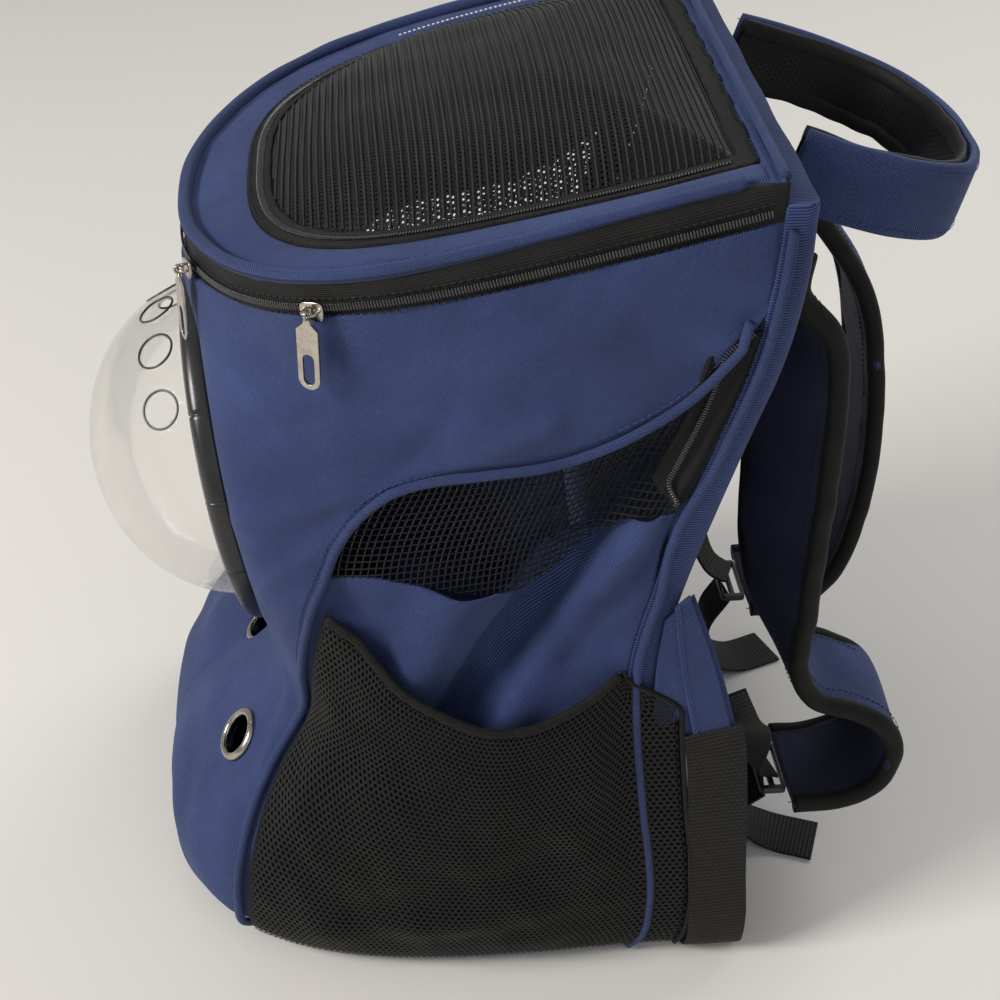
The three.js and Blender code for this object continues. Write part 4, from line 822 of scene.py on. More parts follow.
def drawn(points, edges, outs=None):
    """A base of bare edges, with each point's outward direction where a tree needs it."""
    mesh = bpy.data.meshes.new("drawn")
    mesh.from_pydata(np.asarray(points, float).tolist(), [tuple(map(int, e)) for e in edges], [])
    if outs is not None:
        layer = mesh.attributes.new("out", "FLOAT_VECTOR", "POINT")
        layer.data.foreach_set("vector", np.asarray(outs, float).ravel())
    return placed("drawn", mesh)


def lines(paths, outs=None):
    """A base of several open paths."""
    points, edges, directions, start = [], [], [], 0
    for k, path in enumerate(paths):
        points.append(path)
        edges += [(start + i, start + i + 1) for i in range(len(path) - 1)]
        start += len(path)
        if outs is not None:
            directions.append(np.broadcast_to(np.asarray(outs[k], float), path.shape))
    return drawn(np.vstack(points), edges, np.vstack(directions) if outs is not None else None)


STITCH_PITCH, STITCH_LENGTH, STITCH_WIDTH = 3.6 * MM, 2.9 * MM, 0.62 * MM


def stitches(name, paths, outs, material, pitch=STITCH_PITCH, length=STITCH_LENGTH, width=STITCH_WIDTH):
    return grow(name, lines(paths, outs), ROW, pitch=pitch, length=length, width=width, crosswise=False,
                material=material)


def teeth(name, path, outs, length=4.6 * MM, pitch=1.35 * MM, width=1.25 * MM):
    """Coil teeth: short bars across the tape."""
    return grow(name, lines([path], [outs]), ROW, pitch=pitch, length=length, width=width, crosswise=True,
                material=black_coil)


def lattice(points_of, across, along, pitch, inside_of, room=1.0):
    """A triangle lattice over a panel: rows half a step apart, kept where inside_of says so."""
    row_gap = pitch * math.sqrt(3) / 2
    rows, columns = int(along / row_gap) + 1, int(room * across / pitch) + 1
    r, c = np.meshgrid(np.arange(rows), np.arange(columns), indexing="ij")
    s = (c + 0.5 * (r % 2)) * pitch / across
    t = r * row_gap / along
    points, keep = points_of(s, t), inside_of(s, t)
    index = r * columns + c
    a, b = index[:-1, :-1], index[:-1, 1:]
    d, e = index[1:, :-1], index[1:, 1:]
    even = (r[:-1, :-1] % 2 == 0)
    one = np.where(even[..., None], np.stack([a, b, d], -1), np.stack([a, b, e], -1))
    two = np.where(even[..., None], np.stack([b, e, d], -1), np.stack([a, e, d], -1))
    faces = np.concatenate([one.reshape(-1, 3), two.reshape(-1, 3)])
    used, faces = only_used(faces[keep.reshape(-1)[faces].all(axis=1)], rows * columns)
    return points.reshape(-1, 3)[used], faces


def air_mesh(name, points_of, across, along, pitch, hole, inside_of, material, turn=np.asarray,
             inside=(0, 0, 0.2), room=1.0):
    """An open knit over a panel, with one hole to each cell of the lattice."""
    points, faces = lattice(points_of, across, along, pitch, inside_of, room)
    points = turn(points)
    base = make("drawn", points, facing_out(points, faces, inside), None)
    return grow(name, base, PERFORATE, hole=hole, material=material)


print("trees:", [t.name for t in (STRANDS, ROW, PERFORATE)])

# %% [markdown]
# ## Front wrap
# One piece of twill runs from the base up round the bubble and on along both sides to the back. It is a grid
# between the piped seam and the middle of the front (or the rim zip). Faces inside the bubble's bore and the
# eyelets are left out, and the points next to a hole are pulled onto its circle, which gives a clean edge
# without a boolean. Seam tension shows as short puckers that fade away from the piping.

# %% Seams as tables
SEAM = [(0.62, 0), (0.6, 0.06), (0.592, 0.14), (0.595, 0.215), (0.603, 0.285), (0.602, 0.36), (0.575, 0.44),
        (0.54, 0.51), (0.51, 0.57), (0.485, 0.625), (0.475, 0.67), (0.467, 0.712), (0.445, 0.742),
        (0.405, 0.754),
        (0.32, 0.754), (0.24, 0.752), (0.18, 0.759), (0.125, 0.774), (0.073, 0.8), (0.035, 0.836),
        (0, 0.878)]
SEAM_KNEE = 0.6
NET_EDGE = [(0.43, 0.624), (0.38, 0.612), (0.29, 0.588), (0.215, 0.583), (0.16, 0.594), (0.12, 0.622),
            (0.07, 0.648), (0, 0.655)]
NET_START = 0.45
POCKET_EDGE = [(0.5, 0.575), (0.47, 0.545), (0.43, 0.5), (0.37, 0.468), (0.285, 0.443), (0.2, 0.42),
               (0.135, 0.411), (0.07, 0.416), (0.03, 0.432), (0.008, 0.455)]
U_LENGTH, V_LENGTH = 0.385, 0.41
FINE = 2000


def reader(rows):
    """Reads a table's curve at shares of its length in rows."""
    curve = smooth_path(rows, FINE, spaced=False)
    where = np.linspace(0, 1, FINE + 1)
    return lambda t: np.stack([np.interp(t, where, curve[:, 0]), np.interp(t, where, curve[:, 1])], axis=-1)


seam_at = reader(SEAM)
net_edge_at = reader([tuple(seam_at(NET_START))] + NET_EDGE)
pocket_edge_at = reader(POCKET_EDGE)


def weave_uv(u, v):
    return np.stack([u * U_LENGTH, v * V_LENGTH], axis=-1)


# %% Front wrap
EYELET_HOLE = 10 * MM
WRAP_ROWS, WRAP_COLUMNS = 190, 84
BORE = RING_RADIUS - 8 * MM


def place_frame(u, v):
    """A point and outward direction on the bag."""
    low, high = body(u, v), body(u, v, 1 * MM)
    return low, unit(high - low)


eyelets = {}
for name, side, u, v in (("middle", 1, 1.0, 0.3), ("right", 1, 0.725, 0.288), ("left", -1, 0.725, 0.288)):
    at, out = place_frame(u, v)
    eyelets[name] = (at * np.array([side, 1, 1]), out * np.array([side, 1, 1]))

WRAP_FOLDS = [  # from (u, v) to (u, v), height out of the surface, and spread
    (0.6, 0.7, 0.3, 0.79, 2.6 * MM, 0.022), (0.58, 0.86, 0.25, 0.9, 2.0 * MM, 0.025),
    (0.68, 0.5, 0.52, 0.64, 2.4 * MM, 0.02),
    (0.7, 0.42, 0.62, 0.3, 2.4 * MM, 0.022), (0.74, 0.2, 0.64, 0.06, 2.0 * MM, 0.03),
    (0.16, 0.93, 0.05, 0.86, 2.4 * MM, 0.02),
    (0.48, 0.73, 0.4, 0.82, -1.8 * MM, 0.02),
]


def fold_height(u, v, folds):
    """Height of a few soft folds, each a ridge along a line in u and v."""
    total = np.zeros(np.broadcast(u, v).shape)
    for u0, v0, u1, v1, high, spread in folds:
        du, dv = u1 - u0, v1 - v0
        t = np.clip(((u - u0) * du + (v - v0) * dv) / (du * du + dv * dv), -0.15, 1.15)
        away = np.hypot(u - u0 - du * t, v - v0 - dv * t) / spread
        total += high * np.exp(-away**2)
    return total


t = np.linspace(0, 1, WRAP_ROWS + 1)[:, None]
s = np.linspace(0, 1, WRAP_COLUMNS + 1)[None, :]
seam = seam_at(t[:, 0])
far_u = np.where(t <= SEAM_KNEE, 1.0, 1 - (t - SEAM_KNEE) / (1 - SEAM_KNEE))
far_v = np.where(t <= SEAM_KNEE, ZIP_SHARE * t / SEAM_KNEE, ZIP_SHARE)
wrap_u = seam[:, :1] + (far_u - seam[:, :1]) * s
wrap_v = seam[:, 1:] + (far_v - seam[:, 1:]) * s
base = body(wrap_u, wrap_v)
radial = np.linalg.norm(np.cross(base - RING_CENTRE, RING_AXIS), axis=-1)
radial = np.where(base[..., 1] > 0, 1.0, radial)
calm = ease(RING_RADIUS, RING_RADIUS + 22 * MM, radial)
from_seam = np.linalg.norm(base - body(seam[:, :1], seam[:, 1:]), axis=-1)
waves = 1.9 * MM * ripple(base, 0.085, 3) + 0.5 * MM * ripple(base, 0.03, 4)
waves += fold_height(wrap_u, wrap_v, WRAP_FOLDS)
pucker = 0.35 * MM * np.sin(2 * math.pi * t * 62
                            + 2 * ripple(base, 0.03, 5)) * np.exp(-from_seam / (7 * MM))
edges_calm = ease(0, 8 * MM, from_seam) * 0.85 + 0.15
grid = body(wrap_u, wrap_v, (waves * edges_calm + pucker) * calm * ease(0, 0.04, wrap_v))
grid[..., 0] = np.where((t <= SEAM_KNEE) & (s > 0.999), 0, grid[..., 0])


def cut_circles(points, faces, circles):
    """Drops faces inside the circles and pulls the points left inside onto the edge."""
    points = points.copy()
    for centre, axis, radius in circles:
        away = points - centre
        height = away @ axis
        flat = away - height[:, None] * axis
        reach = np.linalg.norm(flat, axis=1)
        inner = (reach < radius) & (np.abs(height) < 40 * MM)
        faces = faces[~inner[faces].all(axis=1)]
        used = np.zeros(len(points), bool)
        used[faces] = True
        move = inner & used & (reach > 1e-6)
        points[move] += flat[move] * (radius / reach[move] - 1)[:, None]
    return points, faces


near = grid.reshape(-1, 3)
faces = quads_of(*grid.shape[:2])[:, ::-1]
both = np.vstack([near, mirrored(near)])
both_faces = np.vstack([faces, faces[:, ::-1] + len(near)])
circles = [(RING_CENTRE, RING_AXIS, BORE)] + [(at, out, EYELET_HOLE + 2 * MM) for at,
                                              out in eyelets.values()]
both, both_faces = cut_circles(both, both_faces, circles)
used, both_faces = only_used(both_faces, len(both))
uv = weave_uv(wrap_u, wrap_v).reshape(-1, 2)
uv = np.vstack([uv, uv * np.array([-1, 1]) + np.array([2 * U_LENGTH, 0])])
wrap = make("front_cloth", both[used], both_faces, blue_twill, uv[used])


weld(wrap)
turned_out(wrap, (0, 0, 0.2))
walled(wrap, CLOTH)
settle(wrap, "front_wrap")
print("front wrap points:", len(wrap.data.vertices))


# %% [markdown]
# ## Side cloth
# The lower side is slack twill with one deep fold that runs down from the back seam, as when a soft bag sinks
# on its base. The fold is already in the surface; here it gets a second, smaller fold beside it.

# %% Side cloth
SIDE_ROWS, SIDE_COLUMNS = 90, 90
SIDE_FOLDS = [  # from (u, v) to (u, v), height out of the surface, and spread
    (0.13, 0.62, 0.33, 0.36, -13.0 * MM, 0.038), (0.06, 0.6, 0.2, 0.4, 8.0 * MM, 0.03),
    (0.27, 0.62, 0.42, 0.42, 7.0 * MM, 0.045),
    (0.03, 0.6, 0.1, 0.5, -4.0 * MM, 0.03), (0.47, 0.6, 0.43, 0.54, -2.5 * MM, 0.02),
]
a = np.linspace(0, 1, SIDE_COLUMNS + 1)[None, :]
b = np.linspace(0, 1, SIDE_ROWS + 1)[:, None]
front, high, start = seam_at(NET_START * b), net_edge_at(a), net_edge_at(0.0)
side_u = (1 - a) * front[..., 0] + b * high[..., 0] - b * (1 - a) * start[0]
side_v = (1 - a) * front[..., 1] + b * high[..., 1] - b * (1 - a) * start[1]
base = body(side_u, side_v)
rim_calm = np.minimum(ease(0, 0.06, a) * ease(0, 0.05, 1 - a), ease(0, 0.06, b))
out = rim_calm * (1.4 * MM * ripple(base, 0.06, 8) + 0.5 * MM * ripple(base, 0.022, 9)
                  + fold_height(side_u, side_v, SIDE_FOLDS))
side_grid = body(side_u, side_v, out)
for name, turn in SIDES:
    cloth = panel("side_twill_" + name, turn(side_grid), blue_twill, CLOTH, weave_uv(side_u, side_v),
                  inside=(0, 0, 0.15))
    settle(cloth, "side_cloth_" + name)
print("side cloth built")

# %% [markdown]
# ## Side net
# A square net is two sets of threads on the surface. Each thread is drawn as a path, cut off at the seam above
# and the hem below, and the `strands` tree gives it a round section.

# %% Side net
NET_PITCH, NET_THREAD = 3.6 * MM, 0.5 * MM
seam_run = seam_at(np.linspace(NET_START, 1, 600))
edge_run = net_edge_at(np.linspace(0, 1, 600))
seam_rows = np.argsort(seam_run[:, 0])
edge_rows = np.argsort(edge_run[:, 0])


def net_top(u):
    return np.interp(u, seam_run[seam_rows, 0], seam_run[seam_rows, 1])


def net_foot(u):
    return np.interp(u, edge_run[edge_rows, 0], edge_run[edge_rows, 1])


u_lines = np.arange(0.004, seam_at(NET_START)[0], NET_PITCH / U_LENGTH)
v_lines = np.arange(0.575, 0.88, NET_PITCH / V_LENGTH)
net_paths = []
for u in u_lines:
    low, high = net_foot(u), net_top(u)
    inner = v_lines[(v_lines > low) & (v_lines < high)]
    if high - low > 0.006:
        net_paths.append([(u, v) for v in (low, *inner, high)])
fine_u = np.linspace(0, seam_at(NET_START)[0], 500)
for v in v_lines:
    open_here = (net_foot(fine_u) < v) & (v < net_top(fine_u))
    starts = np.flatnonzero(np.diff(np.concatenate([[0], open_here, [0]])))
    for first, last in zip(starts[::2], starts[1::2] - 1):
        inner = u_lines[(u_lines > fine_u[first]) & (u_lines < fine_u[last])]
        if last - first > 3:
            net_paths.append([(u, v) for u in (fine_u[first], *inner, fine_u[last])])


def on_net(path, k):
    """Threads of one direction lie a little over the other; the net sags between its edges."""
    p = np.array(path)
    share = (p[:, 1] - net_foot(p[:, 0])) / np.maximum(net_top(p[:, 0]) - net_foot(p[:, 0]), 1e-3)
    sag = -2.6 * MM * np.sin(math.pi * np.clip(share, 0, 1)) * ease(0, 0.1, p[:, 0])
    return body(p[:, 0], p[:, 1], sag + 0.12 * MM * (-1) ** k)


threads = [on_net(path, k) for k, path in enumerate(net_paths)]
for name, turn in SIDES:
    net = grow("side_net_" + name + "_threads", lines([turn(p) for p in threads]), STRANDS,
               radius=NET_THREAD, sides=4, material=black_strand)
    settle(net, "side_net_" + name)

# %% Folded net with its zip along the back seam: a solid black strip, partly the zip's tape and partly painted shade in the net's fold
FOLD_FOOT, FOLD_TOP = 0.668, 0.862
FOLD_NEAR, FOLD_FAR = 0.002, 0.066
ZIP_COLUMN = 7
strip_v = np.linspace(FOLD_FOOT, FOLD_TOP, 70)[:, None]
taper = ease(0.875, 0.84, strip_v).clip(0.25)
strip_u = np.linspace(FOLD_NEAR, FOLD_FAR, 12)[None, :] * taper * ease(0.655, 0.7, strip_v).clip(0.3)
strip = body(strip_u, strip_v, 0.8 * MM + 0.7 * MM * np.sin(strip_u * 240 + strip_v * 14))
zip_line = body(strip_u[:, ZIP_COLUMN], strip_v[:, 0], 2.2 * MM)
zip_out = body(strip_u[:, ZIP_COLUMN], strip_v[:, 0], 3.2 * MM) - zip_line
for name, turn in SIDES:
    folded = panel("net_fold_shade_" + name, turn(strip), black_tape, 0.8 * MM, inside=(0, 0, 0.3))
    zipped = teeth("net_zip_" + name, turn(zip_line), turn(zip_out) * 1000, length=3.4 * MM)
    for made in (folded, zipped):
        settle(made, None)

# %% [markdown]
# ## Side pocket
# Air mesh is a thick knit with a hole in each six-sided cell. The pocket's cloth bellies out from the side and
# hangs slack, so it gets slow waves and a few upright folds near the back, then a triangle lattice is laid on
# it and the `perforate` tree opens it. Elastic binding closes the top edge.

# %% Side pocket
POCKET_FOOT, POCKET_OUT, POCKET_BULGE = 0.022, 4.0 * MM, 15 * MM
PIPING_RADIUS = 2.3 * MM
POCKET_PITCH, POCKET_HOLE = 3.5 * MM, 0.58
POCKET_WIDTH, POCKET_HEIGHT = 225 * MM, 205 * MM
POCKET_FOLDS = [
    (0.06, 0.36, 0.13, 0.1, 3.0 * MM, 0.035),
    (0.2, 0.12, 0.42, 0.09, 2.2 * MM, 0.03),
    (0.16, 0.2, 0.34, 0.16, -2.0 * MM, 0.03),
    (0.5, 0.4, 0.54, 0.2, 1.8 * MM, 0.03),
]
seam_low = seam_at(np.linspace(0, SEAM_KNEE, 500))


def pocket_uv(a, b):
    top = pocket_edge_at(a)
    v = POCKET_FOOT + (top[..., 1] - POCKET_FOOT) * b
    front = np.interp(v, seam_low[:, 1], seam_low[:, 0]) - (2 * PIPING_RADIUS + 2.4 * MM) / U_LENGTH
    rear = 2 * PIPING_RADIUS / U_LENGTH
    return front + (rear - front) * np.clip(a, 0, 1), v


def on_pocket(a, b, lift=0.0):
    u, v = pocket_uv(a, b)
    belly = np.sin(math.pi * np.clip(a, 0, 1)) ** 0.8 * np.sin(math.pi * (0.04 + b * 0.58))
    base = body(u, v, creased=False)
    slack = np.minimum(ease(0, 0.1, a), ease(0, 0.1, 1 - a)) * ease(0, 0.12, b)
    waves = 1.2 * MM * ripple(base, 0.05, 12) + 0.4 * MM * ripple(base, 0.02, 13)
    waves = waves + fold_height(u, v, POCKET_FOLDS)
    place = body(u, v, POCKET_OUT + POCKET_BULGE * belly + slack * waves + lift, creased=False)
    past = (np.clip(a, 1, 2) - 1)[..., None] * np.array([0, POCKET_WIDTH, 0])
    return place + past * ease(1.0, 0.86, b)[..., None]


POCKET_END = 1.13  # the foot of the mesh runs on past the corner, to the webbing
a, b = np.linspace(0, POCKET_END, 60)[None, :], np.linspace(0, 1, 50)[:, None]
# A near-black sheet 1 mm behind the air mesh paints the shade inside the pocket, over the blue side cloth.
behind = on_pocket(a, b, -1.0 * MM)
for name, turn in SIDES:
    mesh_piece = air_mesh("pocket_mesh_" + name, on_pocket, POCKET_WIDTH, POCKET_HEIGHT, POCKET_PITCH,
                          POCKET_HOLE,
                          lambda s, t: (s <= POCKET_END) & (t <= 1.0), black_air_mesh, turn, (0, 0, 0.12),
                          POCKET_END)
    shade_sheet = panel("pocket_shade_sheet_" + name, turn(behind), painted_pocket_shade, 0.6 * MM, inside=(0, 0, 0.12))
    settle(shade_sheet, None)
    settle(mesh_piece, "side_pocket_" + name)

# %% Pocket seam at the corner webbing
climb = np.linspace(0.0, 1.0, 60)
corner_seam = on_pocket(np.full_like(climb, POCKET_END), climb, -0.3 * MM)
for name, turn in SIDES:
    seam_cord = cord("pocket_corner_seam_" + name, turn(corner_seam), 1.7 * MM, black_binding,
                     up=(0, 1, 0.01), flat=0.8)
    settle(seam_cord, None)

# %% Pocket binding
BINDING_RADIUS = 2.6 * MM
share = np.linspace(0.012, 0.988, 120)
rim = on_pocket(share, np.ones_like(share)) + np.array([0, 0, 0.4 * MM])
swell = BINDING_RADIUS * (0.94 + 0.05 * np.sin(np.arange(len(rim)) * 1.1))
for name, turn in SIDES:
    bound = cord("pocket_edge_" + name, turn(rim), swell, black_binding, up=turn([1.0, 0, 0.2]), sides=12,
                 flat=0.75)
    settle(bound, "pocket_binding_" + name)

# %% [markdown]
# ## Piping
# Piping is a strip of twill wrapped round a cord and caught in the seam, so it is a cord along the seam with the
# twill running round it, and a row of stitches on the cloth beside it.

# %% Piping along the side seams
PIPING_LIFT = 1.2 * MM
t = np.linspace(0, 1, 260)
run = seam_at(t)
pipe_u = np.maximum(run[:, 0], 4 * PIPING_RADIUS / U_LENGTH)
pipe_v = np.maximum(run[:, 1], 0.012)
pipe = body(pipe_u, pipe_v, PIPING_RADIUS + PIPING_LIFT - 0.6 * MM)
rear_v = 0.012 + (ZIP_SHARE - 0.02) * np.linspace(0, 1, 160)
rear = body(np.zeros(160), rear_v, PIPING_RADIUS + 0.2 * MM) + np.array([0, PIPING_RADIUS + 1.2 * MM, 0])
beside = smooth_path([(u + 0.0135, v + 0.0035) for u, v in SEAM[:14]]
                     + [(u, v + 0.0125) for u, v in SEAM[14:-1]], 300)
stitch_path = body(beside[:, 0], beside[:, 1], 0.55 * MM)
stitch_out = body(beside[:, 0], beside[:, 1], 1.55 * MM) - stitch_path
for name, turn in SIDES:
    piping = cord("side_piping_" + name, turn(pipe), PIPING_RADIUS, blue_roll, up=turn([1.0, -0.2, 0.1]),
                  sides=12)
    rear_piping = cord("rear_piping_" + name, turn(rear), PIPING_RADIUS, blue_roll,
                       up=turn([1.0, 0.0, 0.0]), sides=12)
    seam_row = stitches("seam_stitches_" + name, [turn(stitch_path)], [turn(stitch_out) * 1000],
                        blue_thread)
    settle(piping, "seam_piping_" + name)
    settle(rear_piping, "back_piping_" + name)
    settle(seam_row, None)


# %% [markdown]
# ## Padded back and flat base
# The back is foam between two cloths. A loop with rounded corners at each level, swollen a little in its middle,
# gives the slab; a second row of loops at each end rounds its top and foot. The base is a stiff board in cloth.

# %% Padded back
PAD_CROWN, PAD_DEPTH, PAD_CORNER, TIGHT_CORNER = 6 * MM, 15.6 * MM, 6.6 * MM, 1.2 * MM
PAD_MIDDLE = 7 * MM


def pad_crown(v):
    return PAD_CROWN * np.sin(math.pi * np.clip(v / 0.96, 0, 1)) ** 0.5


def stadium(half, low, high, radius, count=24):
    """A loop round a long box in x and y, with round corners at the back and tight ones at the front."""
    corner = np.linspace(0, math.pi / 2, 7)
    parts = []
    for side, is_back, turn in ((1, 1, 0), (-1, 1, math.pi / 2), (-1, 0, math.pi), (1, 0, 1.5 * math.pi)):
        bend = radius if is_back else TIGHT_CORNER
        cx, cy = side * (half - bend), high - bend if is_back else low + bend
        parts.append(np.stack([cx + bend * np.cos(corner + turn), cy + bend * np.sin(corner + turn)],
                              axis=1))
        if turn in (0, math.pi):
            x = np.linspace(parts[-1][-1, 0], -parts[-1][-1, 0], count + 2)[1:-1]
            parts.append(np.stack([x, np.full(count, parts[-1][-1, 1])], axis=1))
    return np.vstack(parts)


levels = np.concatenate([[0.008, 0.009, 0.012], np.linspace(0.02, 0.98, 70), [0.988, 0.991, 0.992]])
shrink = np.concatenate([[0.9, 0.96, 0.99], np.ones(70), [0.985, 0.95, 0.88]])
loops, maps = [], []
for v, inset in zip(levels, shrink):
    half, rear = half_at(v) + 0.3 * MM, back_at(v)
    flat = stadium(half, rear - PAD_DEPTH, rear, PAD_CORNER)
    middle = np.array([0, rear - PAD_MIDDLE])
    flat = middle + (flat - middle) * [1 - (1 - inset) * 0.05, inset]
    swell = np.clip((flat[:, 1] - middle[1]) / PAD_MIDDLE, 0,
                    1) * (1 - (flat[:, 0] / half) ** 2).clip(0) ** 0.5
    flat[:, 1] += pad_crown(v) * swell * 0.94
    z = np.full(len(flat), v * rim_height(rear - BACK_PAD))
    loop = np.column_stack([flat, z])
    loop[:, 1] += 0.7 * MM * ripple(loop, 0.05, 21) * swell
    loops.append(loop)
    maps.append(np.stack([loop[:, 0], loop[:, 2]], axis=1))
back_pad = closed_loops("padded_back", np.array(loops), blue_twill, np.array(maps))
settle(back_pad, "back_panel")

# %% Base board
foot = body(np.linspace(0, 1, 70), np.zeros(70))
outline = np.vstack([foot, mirrored(foot[-2::-1])])
middle = outline.mean(0)
inward = (outline - middle) * (1 - 0.6 * MM / np.linalg.norm(outline - middle, axis=1, keepdims=True))
stack = []
for z, share in ((0.3, 0.985), (0.8, 0.997), (1.4, 1.0), (1.9, 0.997), (2.4, 0.985)):
    row = middle + inward * share
    row[:, 2] = z * MM
    stack.append(row)
stack = np.array(stack)
board = closed_loops("base_board", stack, blue_roll, stack[..., :2])
settle(board, "base_panel")

# %% [markdown]
# ## Rim zip
# The tape stands along the rim, with a coil of nylon teeth up its middle. The teeth are short bars across the
# path, set one by one by the `row` tree, which is closer to the real thing than a bump pattern.

# %% Rim zip
def both_sides(near):
    """A path on the near side, run on over the middle of the front to the far side."""
    return np.vstack([near, mirrored(near[-2::-1])])


def back_slack(u):
    return BACK_SLACK * ease(0.62, 0.12, u) * ease(0.0, 0.035, u)


BACK_SLACK = 6 * MM  # how far the lid's roll stands in from the rim at the back, where the tape bellies up
ROLL_RISE, TAPE_BELLY = 6.4 * MM, 1.6 * MM
u = np.linspace(0.0, 1.0, 260)
tape_v = np.linspace(ZIP_SHARE + 0.8 * MM / V_LENGTH, 1.0, 5)[:, None]
near = body(u[None, :], tape_v, -0.5 * MM + 0.35 * MM * np.sin(u * 55)[None, :] * np.ones_like(tape_v))
slack = back_slack(u)
inwards = body(u, 1.0, -1 * MM) - body(u, 1.0)
inwards[:, 2] = 0
inwards = unit(inwards)
bulge = []
for s in (0.25, 0.5, 0.75, 1.0):
    inset = inwards * (0.3 * MM + slack * s)[:, None] + np.array([0, 0, ROLL_RISE * s])
    belly = (TAPE_BELLY * math.sin(math.pi * s) * slack / BACK_SLACK)[:, None]
    bulge.append(near[-1] + inset + belly * (np.array([0, 0, 1.0]) - inwards))
tucked = body(u, np.full_like(u, ZIP_SHARE - 3 * MM / V_LENGTH),
              -2.6 * MM)[None]  # its foot, sewn behind the wrap
near = np.concatenate([tucked, near, bulge])
whole = np.concatenate([near, mirrored(near[:, -2::-1])], axis=1)
tape = panel("rim_tape", whole, black_tape, 1.3 * MM, inside=(0, 0, 0.4))
settle(tape, "rim_zip_tape")
coil_u = np.linspace(0.018, 1.0, 320)
coil_v = (ZIP_SHARE + 1) / 2
near = body(coil_u, coil_v, 0.9 * MM)
outs = body(coil_u, coil_v, 2 * MM) - body(coil_u, coil_v)
coil_outs = both_sides(outs) * 500
coil = teeth("rim_teeth", both_sides(near), coil_outs)
settle(coil, "rim_zip_coil")
for offset, name in ((0.0115, "low"), (-0.0105, "high")):
    near = body(coil_u, coil_v - offset * 0.92, 0.15 * MM)
    row = stitches("rim_tape_stitches_" + name, [both_sides(near)], [coil_outs], black_thread)
    settle(row, None)

# %% [markdown]
# ## Lid
# The lid is a soft plate with a window let into it. Both its outline and the window's are loops, so the cloth is
# a polar grid between them: one row of points for each angle. It swells between the two seams.

# %% Lid outline, window outline and crown
WINDOW_HALF, WINDOW_FRONT, WINDOW_BACK = 112 * MM, -92 * MM, 106 * MM
HINGE_Y = 119 * MM
CENTRE = np.array([0, 7 * MM])
ANGLES = 360
angle = circle(ANGLES)


def reach_at(loop, angles):
    """How far a loop lies from the window's centre at these angles."""
    away = loop - CENTRE
    turn = np.arctan2(away[:, 1], away[:, 0]) % (2 * math.pi)
    order = np.argsort(turn)
    return np.interp(angles, turn[order], np.linalg.norm(away, axis=1)[order], period=2 * math.pi)


def rim_loop(inset):
    u = np.linspace(0, 1, 500)
    near = body(u, np.ones(500))[:, :2]
    inset = inset + back_slack(u)
    inner = near - inset[:, None] * (near - CENTRE) / np.linalg.norm(near - CENTRE, axis=1, keepdims=True)
    inner[:, 1] = np.minimum(inner[:, 1], HINGE_Y)
    x = np.linspace(inner[0, 0], 0, 200)[::-1]
    edge = np.stack([x, np.full(200, HINGE_Y)], axis=1)
    half = np.vstack([edge, inner])
    return np.vstack([half, half[::-1] * [-1, 1]])


def window_loop(offset):
    s = np.linspace(0, 1, 500)
    turn = math.pi / 2 * (0.72 * s + 0.28 * s**3)
    rear = WINDOW_BACK + min(offset, 8 * MM)
    x = (WINDOW_HALF + offset) * np.cos(turn).clip(0) ** (2 / 3)
    y = rear - (rear - WINDOW_FRONT + offset) * np.sin(turn) ** (2 / 4.5)
    edge = np.stack([np.linspace(0, x[0], 200), np.full(200, rear)], axis=1)
    half = np.vstack([edge, np.stack([x, y], axis=1)])
    return np.vstack([half, half[::-1] * [-1, 1]])


def lid_height(flat):
    x, y = flat[..., 0], flat[..., 1]
    rise = 1 - ease(0.35, 1.05, np.hypot(x / HALF_WIDTH, (y + 8 * MM) / HALF_DEPTH))
    return rim_height(y) + 3.5 * MM + 7 * MM * rise


def polar(reach, lift=0.0, turns=angle):
    flat = CENTRE + reach[..., None] * np.stack([np.cos(turns), np.sin(turns)], axis=-1)
    return np.concatenate([flat, (lid_height(flat) + lift)[..., None]], axis=-1)


# %% Lid cloth with its sunken seam
LID_ROWS = 30
share = np.linspace(0, 1, LID_ROWS + 1)[:, None]
inner, outer = reach_at(window_loop(11.0 * MM), angle), reach_at(rim_loop(1 * MM), angle)
reach = inner + (outer - inner) * share
wide = (outer - inner)[None, :]
from_rim, from_window = wide * (1 - share), wide * share
swell = np.minimum(from_rim, from_window).clip(0, 12 * MM) / (12 * MM)
lift = 2.2 * MM * np.sin(swell * math.pi / 2) - 1.6 * MM * np.exp(-((from_rim - 7.5 * MM)
                                                                    / (1.6 * MM)) ** 2)
lift = np.where(wide > 12 * MM, lift, lift * 0.5)
flat = polar(reach)
lift = lift + 0.8 * MM * ripple(flat, 0.05, 31) * swell + 0.3 * MM * ripple(flat, 0.018, 32) * swell
lid_grid = polar(reach, lift + 2.5 * MM * 0.4)
lid_grid = np.concatenate([lid_grid, lid_grid[:, :1]], axis=1)
lid = panel("lid_twill", lid_grid, blue_twill, 2.4 * MM, uv=lid_grid[..., :2], inside=(0, 0, 0.2))
weld(lid)
settle(lid, "lid_cloth")

# %% Lid piping and hinge piping
def run_round(loop_reach, lift):
    """Points of a loop on the lid, starting at the middle of its back."""
    start = math.pi / 2
    turns = np.linspace(start, start + 2 * math.pi, 900)
    return polar(np.interp(turns, angle, loop_reach, period=2 * math.pi), lift, turns)


